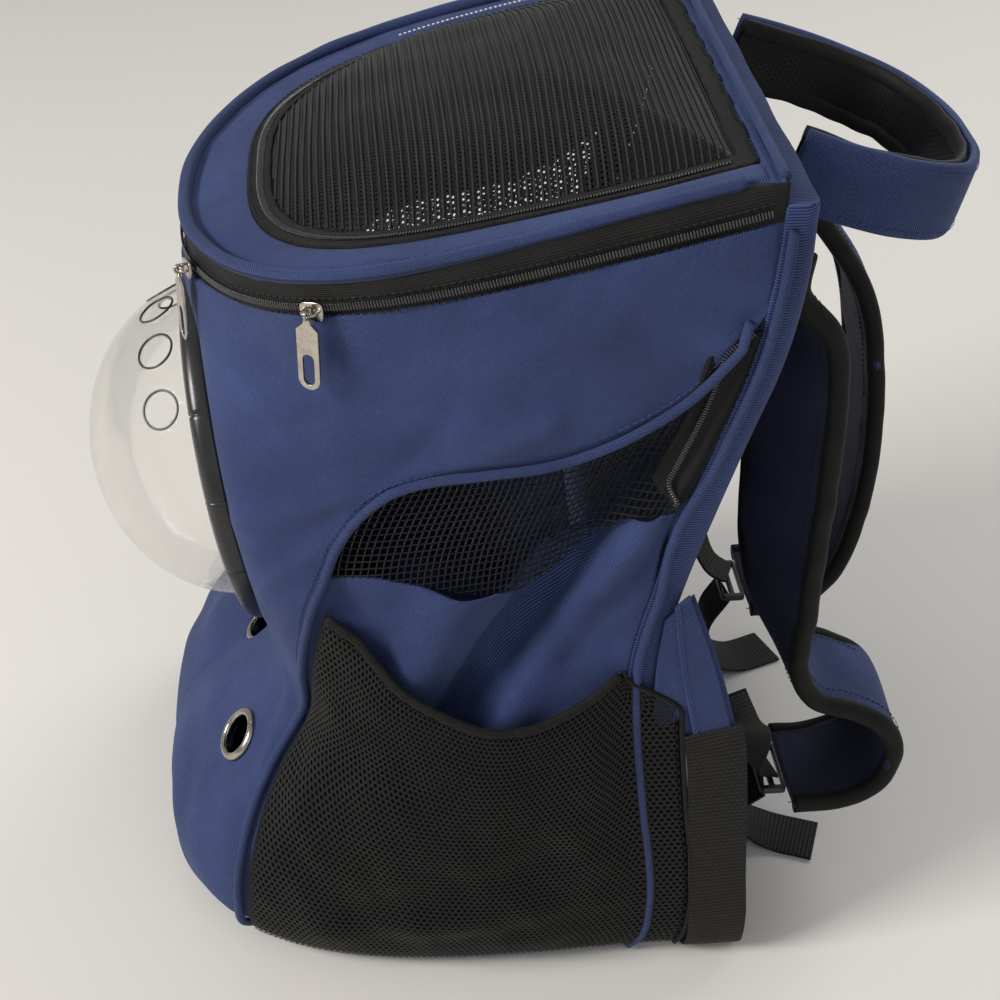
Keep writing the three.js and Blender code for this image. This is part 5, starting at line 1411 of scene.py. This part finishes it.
rim_reach = reach_at(rim_loop(2.2 * MM), angle)
points = run_round(rim_reach, 0.0)
points[:, 2] = rim_height(points[:, 1]) + 7.8 * MM
points = points[points[:, 1] < HINGE_Y - 4.5 * MM]
points = smooth_path(points[::6], 300)
roll = cord("lid_roll", points, 3.2 * MM * (1 + 0.05 * ripple(points, 0.03, 33)), blue_roll, sides=14)
settle(roll, "lid_piping")
SEAM_Y = 120 * MM  # the hinge seam, a little behind the lid's edge
SEAM_Z = float(rim_height(SEAM_Y))
x = np.linspace(-1, 1, 90) * (half_at(1.0) - 4.6 * MM)
points = np.column_stack([x, np.full(90, SEAM_Y), np.full(90, SEAM_Z + 7.3 * MM)])
hinge_roll = cord("hinge_roll", points, 2.3 * MM, blue_roll, sides=12)
settle(hinge_roll, "hinge_piping")
strip_x = np.linspace(-1, 1, 80)[None, :] * (half_at(1.0) - 1.5 * MM)
strip_z = SEAM_Z + np.array([-12, -6, 0, 4, 7])[:, None] * MM
strip_y = SEAM_Y + 0.5 * MM * np.sin(strip_x * 70 + strip_z * 200)
strip = np.stack(np.broadcast_arrays(strip_x, strip_y, strip_z), axis=-1)
hinge_strip = panel("hinge_strip", strip, blue_twill, 1.2 * MM, inside=(0, 0, 0.43))
settle(hinge_strip, None)

# %% [markdown]
# ## Window
# The window is a net with fine ribs across it, blown up a little over the bag, and a zip of its own round three
# sides. Open cells come from the same lattice as the pocket, and each rib is a strand laid on the net.

# %% Window net
WINDOW_RISE = 20 * MM
window_reach = reach_at(window_loop(0.4 * MM), angle)


def on_window(x, y, lift=0.0):
    """A point of the domed net over x and y."""
    flat = np.stack(np.broadcast_arrays(x, y), axis=-1)
    away = flat - CENTRE
    turn = np.arctan2(away[..., 1], away[..., 0]) % (2 * math.pi)
    part = np.linalg.norm(away, axis=-1) / np.interp(turn, angle, window_reach, period=2 * math.pi)
    z = lid_height(flat) + WINDOW_RISE * (1 - part.clip(0, 1) ** 2.6) ** 0.8 + lift
    z = z + 0.9 * MM * ripple(np.concatenate([flat, flat[..., :1] * 0], axis=-1), 0.06,
                              41) * (1 - part.clip(0, 1) ** 4)
    return np.concatenate([flat, z[..., None]], axis=-1), part


SPAN = 2 * WINDOW_HALF + 4 * MM
DEPTH = WINDOW_BACK - WINDOW_FRONT + 4 * MM


def window_spot(s, t):
    return -WINDOW_HALF - 2 * MM + s * SPAN, WINDOW_FRONT - 2 * MM + t * DEPTH


net = air_mesh("window_mesh", lambda s, t: on_window(*window_spot(s, t))[0], SPAN, DEPTH, 2.5 * MM, 0.4,
               lambda s, t: on_window(*window_spot(s, t))[1] < 1.02, black_strand, inside=(0, 0, 0.2))
settle(net, "window_net")
rib_paths = []
for y in np.arange(WINDOW_FRONT + 3 * MM, WINDOW_BACK, 3.3 * MM):
    x = np.linspace(-WINDOW_HALF - 2 * MM, WINDOW_HALF + 2 * MM, 90)
    points, part = on_window(x, y + 0.7 * MM * np.sin(x * 31 + y * 40), 0.45 * MM)
    inside = part < 1.0
    if inside.sum() > 4:
        rib_paths.append(points[inside])
ribs = grow("window_ribs", lines(rib_paths), STRANDS, radius=0.55 * MM, sides=4, material=rib_yarn)
settle(ribs, None)

# %% Window zip and the white bead line
tape_rows = np.linspace(0.4 * MM, 11 * MM, 7)
tape_grid = np.array([polar(reach_at(window_loop(o), angle),
                            0.3 * MM + 1.4 * MM + 0.25 * MM * np.sin(3 * k + angle * 31))
                      for k, o in enumerate(tape_rows)])
tape_grid = np.concatenate([tape_grid, tape_grid[:, :1]], axis=1)
window_band = panel("window_band", tape_grid, black_tape, 1.3 * MM, inside=(0, 0, 0.2))
weld(window_band)
settle(window_band, "window_tape")
zip_run = run_round(reach_at(window_loop(5.5 * MM), angle), 2.3 * MM)
zip_run = smooth_path(zip_run[zip_run[:, 1] < WINDOW_BACK - 3 * MM][::5], 400)
window_teeth = teeth("window_teeth", zip_run, np.broadcast_to([0, 0, 1.0], zip_run.shape))
settle(window_teeth, "window_coil")
edge_run = run_round(reach_at(window_loop(10.2 * MM), angle), 2.0 * MM)
edge_stitches = stitches("window_edge_stitches", [edge_run], [np.array([0, 0, 1.0])], black_thread)
settle(edge_stitches, None)
# A bright beaded white line runs along the far side of the window band; it is drawn as a row of small white
# beads.
bead_points = run_round(reach_at(window_loop(13.5 * MM), angle), 4.0 * MM)
bead_points = bead_points[(bead_points[:, 0] < -80 * MM) & (bead_points[:, 1] > -25
                                                            * MM) & (bead_points[:, 1] < WINDOW_BACK)]
beads = stitches("white_beads", [bead_points], [np.array([0, 0, 1.0])], white_bead_colour, pitch=2.6 * MM,
                 length=1.9 * MM, width=1.1 * MM)
settle(beads, None)

# %% [markdown]
# ## Bubble
# The dome is clear plastic blown into half an egg, held by a black ring that clips together from segments. The
# dome's faces inside each air hole are left out and its edge is pulled onto the circle, like the wrap's holes.
# A dark rim closes each hole, as its cut edge looks from the side.

# %% Dome and its air holes
DOME_RADIUS, DOME_RISE, DOME_BASE = 84 * MM, 76 * MM, 0.4 * MM
RING_UP = np.array([0, -math.sin(RING_TILT), math.cos(RING_TILT)])
RING_SIDE = np.array([1.0, 0, 0])


def on_ring(radius, height, turn):
    """Points round the ring's axis: turn 0 is the near side, a quarter turn is up."""
    radius, height, turn = np.broadcast_arrays(radius, height, turn)
    return (RING_CENTRE + radius[..., None]
            * (np.cos(turn)[..., None] * RING_SIDE + np.sin(turn)[..., None] * RING_UP)
            + height[..., None] * RING_AXIS)


rise = np.linspace(0, math.pi / 2, 80)[:, None]
turn = np.linspace(0, 2 * math.pi, 161)[None, :]
dome_grid = on_ring(DOME_RADIUS * np.cos(rise), DOME_BASE + 2.2 * MM + DOME_RISE * np.sin(rise), turn)
flange = on_ring(np.array([90 * MM, 85 * MM])[:, None], np.array([1.4 * MM, 1.6 * MM])[:, None], turn)
dome_grid = np.concatenate([flange, dome_grid])
HOLE_TURNS, HOLE_LEAN, AIR_HOLE = (44, 67, 90, 113, 136), 73, 9.5 * MM
DOME_START = RING_CENTRE + (DOME_BASE + 2.2 * MM) * RING_AXIS
holes = []
for up in HOLE_TURNS:
    lean, up = math.radians(HOLE_LEAN), math.radians(up)
    away = math.cos(up) * math.sin(lean) * RING_SIDE + math.cos(lean) * RING_AXIS
    away = away + math.sin(up) * math.sin(lean) * RING_UP
    reach = 1 / math.hypot(math.sin(lean) / DOME_RADIUS, math.cos(lean) / DOME_RISE)
    holes.append((DOME_START + away * reach, away, AIR_HOLE))
faces = quads_of(*dome_grid.shape[:2])
points, faces = cut_circles(dome_grid.reshape(-1, 3), faces, holes)
dome = make("clear_dome", points, faces, clear_dome)
weld(dome)
turned_out(dome, tuple(RING_CENTRE))
walled(dome, 1.6 * MM)
settle(dome, "bubble_dome")
print("dome points:", len(dome.data.vertices))


def rim_of(at, away, radius, count=40):
    """Where a round drill leaves the dome: points on its egg shape."""
    side = np.cross(away, RING_AXIS)
    side = unit(side)
    other = np.cross(side, away)
    turn = circle(count)
    spots = at + radius * (np.cos(turn)[:, None] * side + np.sin(turn)[:, None] * other)
    for _ in range(12):  # slide each point along the drill until it lies on the dome
        flat = spots - DOME_START
        height = flat @ RING_AXIS
        round_part = np.linalg.norm(flat - height[:, None] * RING_AXIS, axis=1)
        miss = 1 - np.hypot(round_part / DOME_RADIUS, height / DOME_RISE)
        spots = spots + (miss * DOME_RADIUS)[:, None] * away
    return spots


for k, (at, away, radius) in enumerate(holes):
    rim = cord(f"air_hole_rim_{k + 1}", rim_of(at, away, radius), 0.6 * MM, dark_edge, up=away, sides=8,
               loop=True)
    settle(rim, None)

# %% Ring with its joints
JOINTS = 14
base_turn = circle(224)
joint_turn = (np.arange(JOINTS) + 0.5) * 2 * math.pi / JOINTS
cuts = (joint_turn[:, None] + np.radians([-0.55, -0.32, 0, 0.32, 0.55])).ravel() % (2 * math.pi)
turns = np.unique(np.concatenate([base_turn, cuts]))
gap = np.abs((turns[:, None] - joint_turn[None, :] + math.pi) % (2 * math.pi) - math.pi).min(axis=1)
sink = 0.7 * MM * np.clip(1 - gap / math.radians(0.5), 0, 1)
profile = smooth_path([(84.7, 3.2), (86.5, 3.0), (90.3, 3.0), (90.4, 0.6), (96.4, 0.5), (96.9, 1.6),
                       (97.0, 5.5), (96.6, 7.8),
                       (95.3, 10.0), (93.0, 11.2), (89.5, 12.0), (87.2, 11.2), (85.4, 9.6), (84.8, 8.0),
                       (84.7, 5.0)], 56) * MM
middle = np.array([90.5 * MM, 5.5 * MM])
toward = unit(middle - profile)
section = profile[None] + toward[None] * sink[:, None, None]
grid = on_ring(section[..., 0], section[..., 1], turns[:, None])
settle(torus("ring", grid, black_moulding), "bubble_ring")

# %% Eyelets
EYELET_ROWS = smooth_path([(10.0, -1.9), (12.6, -1.9), (13.8, -1.2), (14.4, 0.2), (14.2, 1.2), (13.2, 2.2),
                           (12.2, 2.6),
                           (11.0, 2.4), (10.3, 1.6), (10.0, 0.6), (10.0, -1.2)], 30) * MM
for name, (at, out) in eyelets.items():
    side = np.cross(out, [0, 0, 1.0])
    side = unit(side)
    other = np.cross(side, out)
    turn = circle(48)[:, None, None]
    grid = at + EYELET_ROWS[None, :, :1] * (np.cos(turn) * side + np.sin(turn)
                                            * other) + EYELET_ROWS[None, :, 1:] * out
    settle(torus("metal_eyelet_" + name, grid, nickel_plate), "eyelet_" + name)
print("bubble and eyelets built")

# %% [markdown]
# ## Sliders and pulls
# A slider is a wedge-shaped plate with a bridge over it, and the pull hangs from the bridge by its ring. Each is
# drawn in its own small frame first (along the zip, up and out), and then set on the rim.
# The pull rides on its own body, and the slider on the bag.

# %% Sliders and pulls
PULL_PLACES = {name: np.array(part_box("zip_slider_" + name)).mean(0) for name in ("side", "front")}
coil_rows = np.linspace(0.02, 1, 2000)
rim_run = body(coil_rows, (ZIP_SHARE + 1) / 2)
COIL_TOP = 3.3 * MM
SLIDER_LENGTH, SLIDER_WIDTH, SLIDER_HEIGHT = 10 * MM, 8 * MM, 3.4 * MM
BRIDGE_RISE, BRIDGE_WIRE = 4.9 * MM, 1.3 * MM
PULL_LENGTH, PULL_WIDTH, PULL_THICKNESS = 36 * MM, 10.5 * MM, 1.6 * MM
PULL_EYE, PULL_EYE_WIRE, PULL_SLOT = 1.9 * MM, 1.4 * MM, 0.26


def slider_frame(name):
    """The zip's place and directions where the slider sits."""
    near = np.linalg.norm(rim_run[:, :2] - PULL_PLACES[name][:2], axis=1).argmin()
    u = coil_rows[near]
    at, out = place_frame(u, (ZIP_SHARE + 1) / 2)
    out[2] = 0
    out = unit(out)
    return at, np.array([-out[1], out[0], 0]), np.array([0, 0, 1.0]), out


def flat_plate(name, outline, holes, depth, bevel, material, place):
    """A plate cut to a drawn outline, as a flat curve made into a mesh."""
    data = bpy.data.curves.new(name, "CURVE")
    data.dimensions = "2D"
    data.fill_mode = "BOTH"
    data.extrude = depth / 2 - bevel
    data.bevel_depth = bevel
    data.bevel_resolution = 2
    data.offset = -bevel
    for ring_points in (outline, *holes):
        spline = data.splines.new("POLY")
        spline.points.add(len(ring_points) - 1)
        count = len(ring_points)
        spline.points.foreach_set("co", np.column_stack([ring_points, np.zeros(count),
                                                         np.ones(count)]).ravel())
        spline.use_cyclic_u = True
    drawing = placed(name, data)
    mesh = bpy.data.meshes.new_from_object(drawing.evaluated_get(bpy.context.evaluated_depsgraph_get()))
    bpy.data.objects.remove(drawing)
    mesh.name = name
    mesh.transform(place)
    mesh.materials.clear()
    mesh.materials.append(material)
    piece = placed(name, mesh)
    weld(piece, 0.002 * MM)
    outwards(piece)
    return piece


def frame_matrix(origin, x, y, z):
    return Matrix([(x[i], y[i], z[i], origin[i]) for i in range(3)] + [(0, 0, 0, 1)])


def joined(name, pieces):
    """Joins pieces of one part into one mesh."""
    work = bmesh.new()
    for piece in pieces:
        work.from_mesh(piece.data)
    mesh = bpy.data.meshes.new(name)
    work.to_mesh(mesh)
    work.free()
    for material in pieces[0].data.materials:
        mesh.materials.append(material)
    for piece in pieces:
        bpy.data.objects.remove(piece)
    return placed(name, mesh)


def arc_points(cx, cy, radius, start, end, count=14):
    turn = np.linspace(start, end, count)
    return [(cx + radius * math.cos(a), cy + radius * math.sin(a)) for a in turn]


for name in ("side", "front"):
    at, run, up, out = slider_frame(name)
    half_l, half_w = SLIDER_LENGTH / 2, SLIDER_WIDTH / 2
    outline = [(-half_l, -half_w * 0.64), (-half_l * 0.3, -half_w), (half_l, -half_w), (half_l, half_w),
               (-half_l * 0.3, half_w), (-half_l, half_w * 0.64)]
    rounded = smooth_path(outline + outline[:1], 60)[:-1]
    plate = flat_plate("plate", rounded, [], SLIDER_HEIGHT / 2, 0.35 * MM, nickel_plate,
                       frame_matrix(at + out * (COIL_TOP + SLIDER_HEIGHT / 4 - 0.2 * MM), run, up, out))
    rows = [(-0.34, SLIDER_HEIGHT / 4), (-0.34, BRIDGE_RISE * 0.7), (-0.2, BRIDGE_RISE), (0.2, BRIDGE_RISE),
            (0.34, BRIDGE_RISE * 0.7), (0.34, SLIDER_HEIGHT / 4)]
    path = smooth_path([at + run * SLIDER_LENGTH * a + out * (COIL_TOP + b) for a, b in rows], 30)
    bridge = cord("bridge", path, BRIDGE_WIRE / 2, nickel_plate, up=up, sides=12)
    slider = joined("slider_" + name, [plate, bridge])
    settle(slider, "zip_slider_" + name)
    top = -PULL_EYE
    foot = -PULL_LENGTH + PULL_WIDTH / 2
    neck = [(PULL_EYE_WIRE, top), (PULL_EYE_WIRE * 1.4, top - PULL_WIDTH * 0.2),
            (PULL_WIDTH / 2, top - PULL_WIDTH * 0.5)]
    outline = ([(-x, y) for x, y in neck] + arc_points(0, foot, PULL_WIDTH / 2, math.pi, 2 * math.pi)
               + neck[::-1])
    slot = PULL_WIDTH * PULL_SLOT
    opening = arc_points(0, foot, slot, 2 * math.pi, math.pi) + arc_points(0, -PULL_LENGTH * 0.6, slot,
                                                                           math.pi, 0)
    origin = at + out * (COIL_TOP + BRIDGE_RISE)
    tab = flat_plate("tab", np.array(outline), [np.array(opening)], PULL_THICKNESS, 0.3 * MM, nickel_plate,
                     frame_matrix(origin, run, up, out))
    turn = circle(32)[:, None]
    loop = origin + PULL_EYE * (np.cos(turn) * up + np.sin(turn) * out)
    eye = cord("eye", loop, PULL_EYE_WIRE / 2, nickel_plate, up=run, loop=True)
    pull = joined("pull_tab_" + name, [tab, eye])
    settle(pull, "zip_pull_" + name, "pull_" + name)
print("pulls at:", {k: (v / MM).round(0).tolist() for k, v in PULL_PLACES.items()})

# %% [markdown]
# ## Bands: handle, straps and webbing
# A band is a flat section carried along a path. Its table gives the middle of the band and the direction across
# it, so it can twist as cloth does. A padded band has a section between an oval and a box, and a strap of webbing
# has thin square edges. The two faces can have different cloths, as the shoulder straps do.
# The shoulder straps' second cloth is a finer twill on their inner face, and its extra darkness is painted shade.

# %% Band maker
def band_path(rows, count):
    """The middle, the direction across, and the face direction of a band, from rows of (place, across)."""
    places = smooth_path([r[0] for r in rows], count, spaced=False)
    across = smooth_path([r[1] for r in rows], count, spaced=False)
    ahead = np.gradient(places, axis=0)
    ahead = unit(ahead)
    across -= ahead * (across * ahead).sum(1, keepdims=True)
    across = unit(across)
    return places, across, np.cross(ahead, across)


def band(name, path, width, thickness, material, second=None, power=4.0, sides=28, soft=0.0, seed=50,
         ends=0.0):
    """A band with material on its back and second, when given, on its face."""
    places, across, face = path
    turn = circle(sides)
    a = np.sign(np.cos(turn)) * np.abs(np.cos(turn)) ** (2 / power)
    b = np.sign(np.sin(turn)) * np.abs(np.sin(turn)) ** (2 / power)
    width = np.broadcast_to(np.asarray(width, float), (len(places),))
    thick = np.full(len(places), thickness, float)
    if ends:
        run = np.linspace(0, path_length(places), len(places))
        thick *= 0.55 + 0.45 * np.minimum(ease(0, ends, run), ease(0, ends, run[-1] - run))
    grid = (places[:, None] + across[:, None] * a[None, :, None] * width[:, None, None] / 2
            + face[:, None] * b[None, :, None] * thick[:, None, None] / 2)
    if soft:
        grid = grid + face[:, None] * (soft * ripple(grid, 0.035, seed))[..., None]
    rows = len(places)
    run = run_of(places)
    uv = np.stack([np.broadcast_to(a * width.mean() / 2, (rows, sides)),
                   np.broadcast_to(run[:, None], (rows, sides))], axis=-1)
    piece = closed_loops(name, grid, material, uv)
    if second:
        piece.data.materials.append(second)
        columns = len(turn)
        faces_up = np.zeros(len(piece.data.polygons), int)
        lining = (np.sin(turn + math.pi / sides) > 0)
        faces_up[:(rows - 1) * columns] = np.tile(lining, rows - 1)
        piece.data.polygons.foreach_set("material_index", faces_up)
    return piece


def edge_binding(name, path, width, thickness, side, material=black_binding, seed=60, wave=0.5 * MM):
    """The folded tape along one edge of a band."""
    places, across, face = path
    wobble = wave * ripple(places, 0.02, seed)
    middle = places + side * across * (width / 2 - 3.6 * MM + wobble)[:, None]
    return cord(name, middle, thickness, material, up=across, sides=14, flat=4.6 * MM / thickness)


def stitch_line(name, path, offset, lift, material=blue_thread, **sizes):
    places, across, face = path
    both = [places + across * offset + face * lift, places + across * offset - face * lift]
    return stitches(name, both, [face, -face], material, **sizes)


# %% Handle
HANDLE_SPAN, HANDLE_REACH = 150 * MM, 104 * MM
HANDLE_WIDTH, HANDLE_THICKNESS, HANDLE_LINING = 38 * MM, 6 * MM, 3 * MM


def handle_path(inset, count=120):
    back_y, z = float(back_at(0.95)), BACK_HEIGHT - HANDLE_WIDTH * 0.62
    span, reach = HANDLE_SPAN / 2 - inset, HANDLE_REACH - inset
    rows = [(span * 0.98, 7.0 * MM), (span * 1.02, reach * 0.3), (span * 0.98, reach * 0.58),
            (span * 0.78, reach * 0.84),
            (span * 0.42, reach * 0.97), (0, reach)]
    near = [((x, back_y + y, z - y * 0.32), (0, 0.25, 1)) for x, y in rows]
    return band_path(near + [((-p[0], p[1], p[2]), a) for p, a in near[-2::-1]], count)


outer_path = handle_path(0)
run = np.linspace(-1, 1, 121)
handle_cloth = band("handle_cloth", outer_path, HANDLE_WIDTH * (1 + 0.012 * np.sin(run * 9)),
                    HANDLE_THICKNESS, blue_twill, soft=0.3 * MM, seed=51)
settle(handle_cloth, "handle")
inner_path = handle_path((HANDLE_THICKNESS + HANDLE_LINING) / 2 + 0.4 * MM)
lining = band("handle_padding", inner_path, HANDLE_WIDTH * 0.84, HANDLE_LINING, black_air_mesh, power=3.0)
settle(lining, "handle_lining")
places, across, face = inner_path
toward_middle = np.sign((face * (np.array([0, float(back_at(0.95)) + 0.03, 0.4]) - places)).sum(1).mean())
spread = np.linspace(0, 1, len(places))


def on_lining(s, t):
    k = np.clip(t, 0, 1)
    p, a, f = (np.stack([np.interp(k, spread, values[:, i]) for i in range(3)], axis=-1)
               for values in (places, across, face))
    offset = (s - 0.5) * HANDLE_WIDTH * 0.74
    bulge = (HANDLE_LINING / 2 + 0.25 * MM) * (1 - np.abs(2 * s - 1) ** 4 * 0.35)
    return p + a * offset[..., None] + toward_middle * f * bulge[..., None]


lining_mesh = air_mesh("handle_mesh", on_lining, HANDLE_WIDTH * 0.74, path_length(places), 3.0 * MM, 0.55,
                       lambda s, t: (s <= 1) & (t <= 1), black_strand, inside=tuple(places.mean(0)))
settle(lining_mesh, None)
for side, edge in ((-1, "low"), (1, "high")):
    rolled = edge_binding("handle_edge_" + edge, inner_path, HANDLE_WIDTH * 0.9, 2.5 * MM, side,
                          black_air_mesh, 61 + side)
    settle(rolled, None)
    seam_row = stitch_line("handle_stitches_" + edge, outer_path, side * (HANDLE_WIDTH / 2 - 4 * MM),
                           HANDLE_THICKNESS / 2 + 0.1 * MM)
    settle(seam_row, None)
print("handle built")

# %% Shoulder straps
STRAP_CENTRE, STRAP_WIDTH, STRAP_THICKNESS = 88 * MM, 66 * MM, 11 * MM


def strap_seat(z):
    return float(back_at(z) + pad_crown(z) * 0.8 + STRAP_THICKNESS / 2 + 1.6 * MM) / HALF_DEPTH


def strap_rows(rows):
    return [((x * STRAP_CENTRE, (strap_seat(z) if y is None else y) * HALF_DEPTH, z * BACK_HEIGHT), a)
            for x, y, z, a in rows]


FLAT = (1, 0, 0)
straps = {
    "right": band_path(strap_rows([
        (0.9, None, 0.88, FLAT), (0.91, None, 0.84, (1, 0.05, 0)),
        (0.93, 1.12, 0.78, (0.95, 0.3, 0)), (0.96, 1.13, 0.68, (0.9, 0.42, 0)),
        (0.96, 1.13, 0.56, (0.9, 0.42, 0)),
        (0.95, 1.14, 0.44, (0.94, 0.33, 0)), (0.9, 1.19, 0.345, (1, 0.1, 0)), (0.86, 1.31, 0.29, FLAT),
        (0.84, 1.47, 0.268, FLAT), (0.84, 1.6, 0.24, FLAT), (0.84, 1.655, 0.195, FLAT),
        (0.85, 1.6, 0.15, FLAT), (0.865, 1.45, 0.1265, FLAT), (0.87, 1.27, 0.125, FLAT)]), 220),
    "left": band_path(strap_rows([
        (-0.9, None, 0.88, FLAT), (-0.92, None, 0.85, FLAT), (-0.95, 1.25, 0.8, FLAT),
        (-1, 1.48, 0.72, FLAT),
        (-1, 1.67, 0.63, FLAT), (-1, 1.76, 0.52, FLAT), (-1, 1.79, 0.41, FLAT), (-1, 1.78, 0.3, FLAT),
        (-1, 1.7, 0.2, FLAT),
        (-1, 1.54, 0.145, FLAT), (-1, 1.34, 0.14, FLAT)]), 200),
}
for name, path in straps.items():
    width = STRAP_WIDTH * (1 + 0.018 * ripple(path[0], 0.08, 52))
    # The inner face takes the darker twill: painted shade of the side that faces the bag.
    strap = band("strap_" + name, path, width, STRAP_THICKNESS, blue_twill, shaded_strap_face, power=3.0,
                 sides=36,
                 soft=0.9 * MM, seed=53, ends=0.05)
    settle(strap, "shoulder_strap_" + name)
    for side, end in ((-1, "inner"), (1, "outer")):
        edge = edge_binding(f"strap_{name}_{end}_binding", path, width, 5.4 * MM, side, black_binding,
                            64 + side)
        settle(edge, None)
        row = stitch_line(f"strap_{name}_{end}_stitches", path, side * (STRAP_WIDTH / 2 - 10.5 * MM),
                          STRAP_THICKNESS / 2 - 0.1 * MM, black_thread)
        settle(row, None)
print("straps built")

# %% [markdown]
# ## Wings, webbing and buckles
# At each lower back corner a folded triangle of twill, the wing, takes the load of the strap. Wide webbing is
# sewn to it and turns under the bag, and the strap's own webbing runs through a two-slot buckle and ends in a
# free tail on the floor.

# %% Wings
WING_THICKNESS, WING_FOOT, WEBBING_CENTRE = 3 * MM, 0.325, 0.835
WEBBING_WIDTH, WEBBING_THICKNESS, GAP = 30 * MM, 1.8 * MM, 0.4 * MM
BUCKLE_WALL, BUCKLE_DEPTH = 4 * MM, 14.4 * MM
WING = np.array([[[0.61, 0.325], [0.78, 0.325], [0.93, 0.325]], [[0.6, 0.42], [0.71, 0.43], [0.83, 0.435]],
                 [[0.62, 0.5], [0.67, 0.515], [0.72, 0.53]]])


def wing_place(y, z):
    y, z = np.asarray(y, float), np.asarray(z, float)
    return np.stack([half_at(z) - 2 * GAP + WING_THICKNESS / 2, HALF_DEPTH * y, BACK_HEIGHT * z], axis=-1)


def fine_patch(rows, down, across):
    """A smooth patch through a small table of points."""
    wide = np.array([smooth_path(row, across, spaced=False) for row in rows])
    return np.stack([smooth_path(wide[:, k], down, spaced=False) for k in range(across + 1)], axis=1)


patch = fine_patch(WING, 24, 24)
wing_grid = wing_place(patch[..., 0], patch[..., 1])
wing_grid[..., 0] += WING_THICKNESS / 2 + 0.25 * MM * ripple(wing_grid, 0.03, 71)
fold_patch = fine_patch(WING[:, 1:] * [1, 1] + [[-0.02, 0.004]], 24, 14)
fold_grid = wing_place(fold_patch[..., 0], fold_patch[..., 1])
fold_grid[..., 0] += WING_THICKNESS / 2 + 1.5 * MM
for name, turn in SIDES:
    wing = panel("wing_cloth_" + name, turn(wing_grid), blue_twill, WING_THICKNESS * 0.9,
                 inside=(0, 0.1, 0.17))
    settle(wing, "wing_" + name)
    fold = panel("wing_fold_" + name, turn(fold_grid), blue_roll, 1.4 * MM, inside=(0, 0.1, 0.17))
    settle(fold, None)
    rim = turn(fold_grid[::-1, 0] + np.array([0.3 * MM, 2.2 * MM, 0]))
    hem = stitches("wing_stitches_" + name, [rim], [turn([1.0, 0, 0])], blue_thread)
    settle(hem, None)

# %% Webbing, buckles and tails
WEBBING_POWER = 14.0


def webbing(name, rows, width=WEBBING_WIDTH, count=110):
    return band(name, band_path(rows, count), width, WEBBING_THICKNESS, black_webbing, power=WEBBING_POWER,
                sides=40)


def round_box(half_x, half_y, radius):
    x, y, quarter = half_x - radius, half_y - radius, math.pi / 2
    corners = ((x, y, 0), (-x, y, 1), (-x, -y, 2), (x, -y, 3))
    return [p for cx, cy, k in corners
            for p in arc_points(cx, cy, radius, k * quarter, (k + 1) * quarter, 6)]


LOW = WEBBING_THICKNESS * 0.5 / BACK_HEIGHT + 0.0006
wx = float(wing_place(WEBBING_CENTRE, WING_FOOT)[0]) + GAP + WING_THICKNESS / 2 + WEBBING_THICKNESS / 2
for name, side in (("right", 1), ("left", -1)):
    down = [(-1, -0.02, WING_FOOT + 0.03), (0, 0, WING_FOOT), (3.5, 0.02, 0.25), (6, 0.04, 0.15),
            (7, 0.06, 0.07), (3, 0.06, 0.024),
            (-5, 0.055, LOW + 0.004), (-16, 0.05, LOW), (-34, 0.05, LOW)]
    rows = [((side * (wx + x * MM), HALF_DEPTH * (WEBBING_CENTRE + y), BACK_HEIGHT * z), (0, 1, 0)) for x,
            y, z in down]
    settle(webbing("corner_band_" + name, rows), "corner_webbing_" + name)

    end = straps[name][0][-1]
    buckle_y = end[1] - BUCKLE_DEPTH / 2 - 3.4 * GAP
    half_x = WEBBING_WIDTH / 2 + BUCKLE_WALL
    slot_y = BUCKLE_WALL * 0.85
    slots = [np.array(round_box(WEBBING_WIDTH / 2 + 0.5 * MM, BUCKLE_WALL * 0.52, 0.8 * MM))
             + [0, s * slot_y] for s in (1, -1)]
    buckle = flat_plate("ladder_buckle_" + name, np.array(round_box(half_x, BUCKLE_DEPTH / 2, 2.4 * MM)),
                        [s[::-1] for s in slots],
                        BUCKLE_WALL, 0.6 * MM, black_moulding,
                        Matrix.Translation((end[0], buckle_y, end[2])))
    settle(buckle, "strap_buckle_" + name)

    wing_end = wing_place(0.9, WING_FOOT + 0.03) * [side, 1, 1]
    inside = wing_end + np.array([-side * (WING_THICKNESS + WEBBING_THICKNESS), 0, 0])
    top = np.array([end[0], buckle_y, end[2] + BUCKLE_WALL * 0.5 + WEBBING_THICKNESS + 3 * GAP])
    tie = [(top, FLAT), ((end[0] + side * 6 * MM, buckle_y - 12 * MM, end[2] + 12 * MM),
                         (0.95, side * 0.3, 0)),
           (inside * 0.6 + np.array([end[0], buckle_y, end[2] + 14 * MM]) * 0.4, (0.6, side * 0.8, 0.4)),
           (inside, (0, 1, 0)), (inside + np.array([0, -6, 14]) * MM, (0, 1, 0.3))]
    settle(webbing("strap_band_" + name, tie, WEBBING_WIDTH * 0.8, 80), "strap_webbing_" + name)
    low_y = buckle_y - 2 * MM
    tail = [((end[0], low_y, end[2] - BUCKLE_WALL * 0.5 - WEBBING_THICKNESS - 3 * GAP), FLAT),
            ((end[0] - side * 4 * MM, buckle_y - 14 * MM, end[2] * 0.6), FLAT),
            ((end[0] - side * 8 * MM, buckle_y - 10 * MM, end[2] * 0.22), FLAT),
            ((end[0] - side * 4 * MM, buckle_y + 6 * MM, WEBBING_THICKNESS * 1.6), (1, side * -0.2, 0)),
            ((end[0] + side * 6 * MM, buckle_y + 32 * MM, WEBBING_THICKNESS * 0.8), (1, side * -0.4, 0))]
    settle(webbing("tail_band_" + name, tail), "webbing_tail_" + name)
print("webbing built")
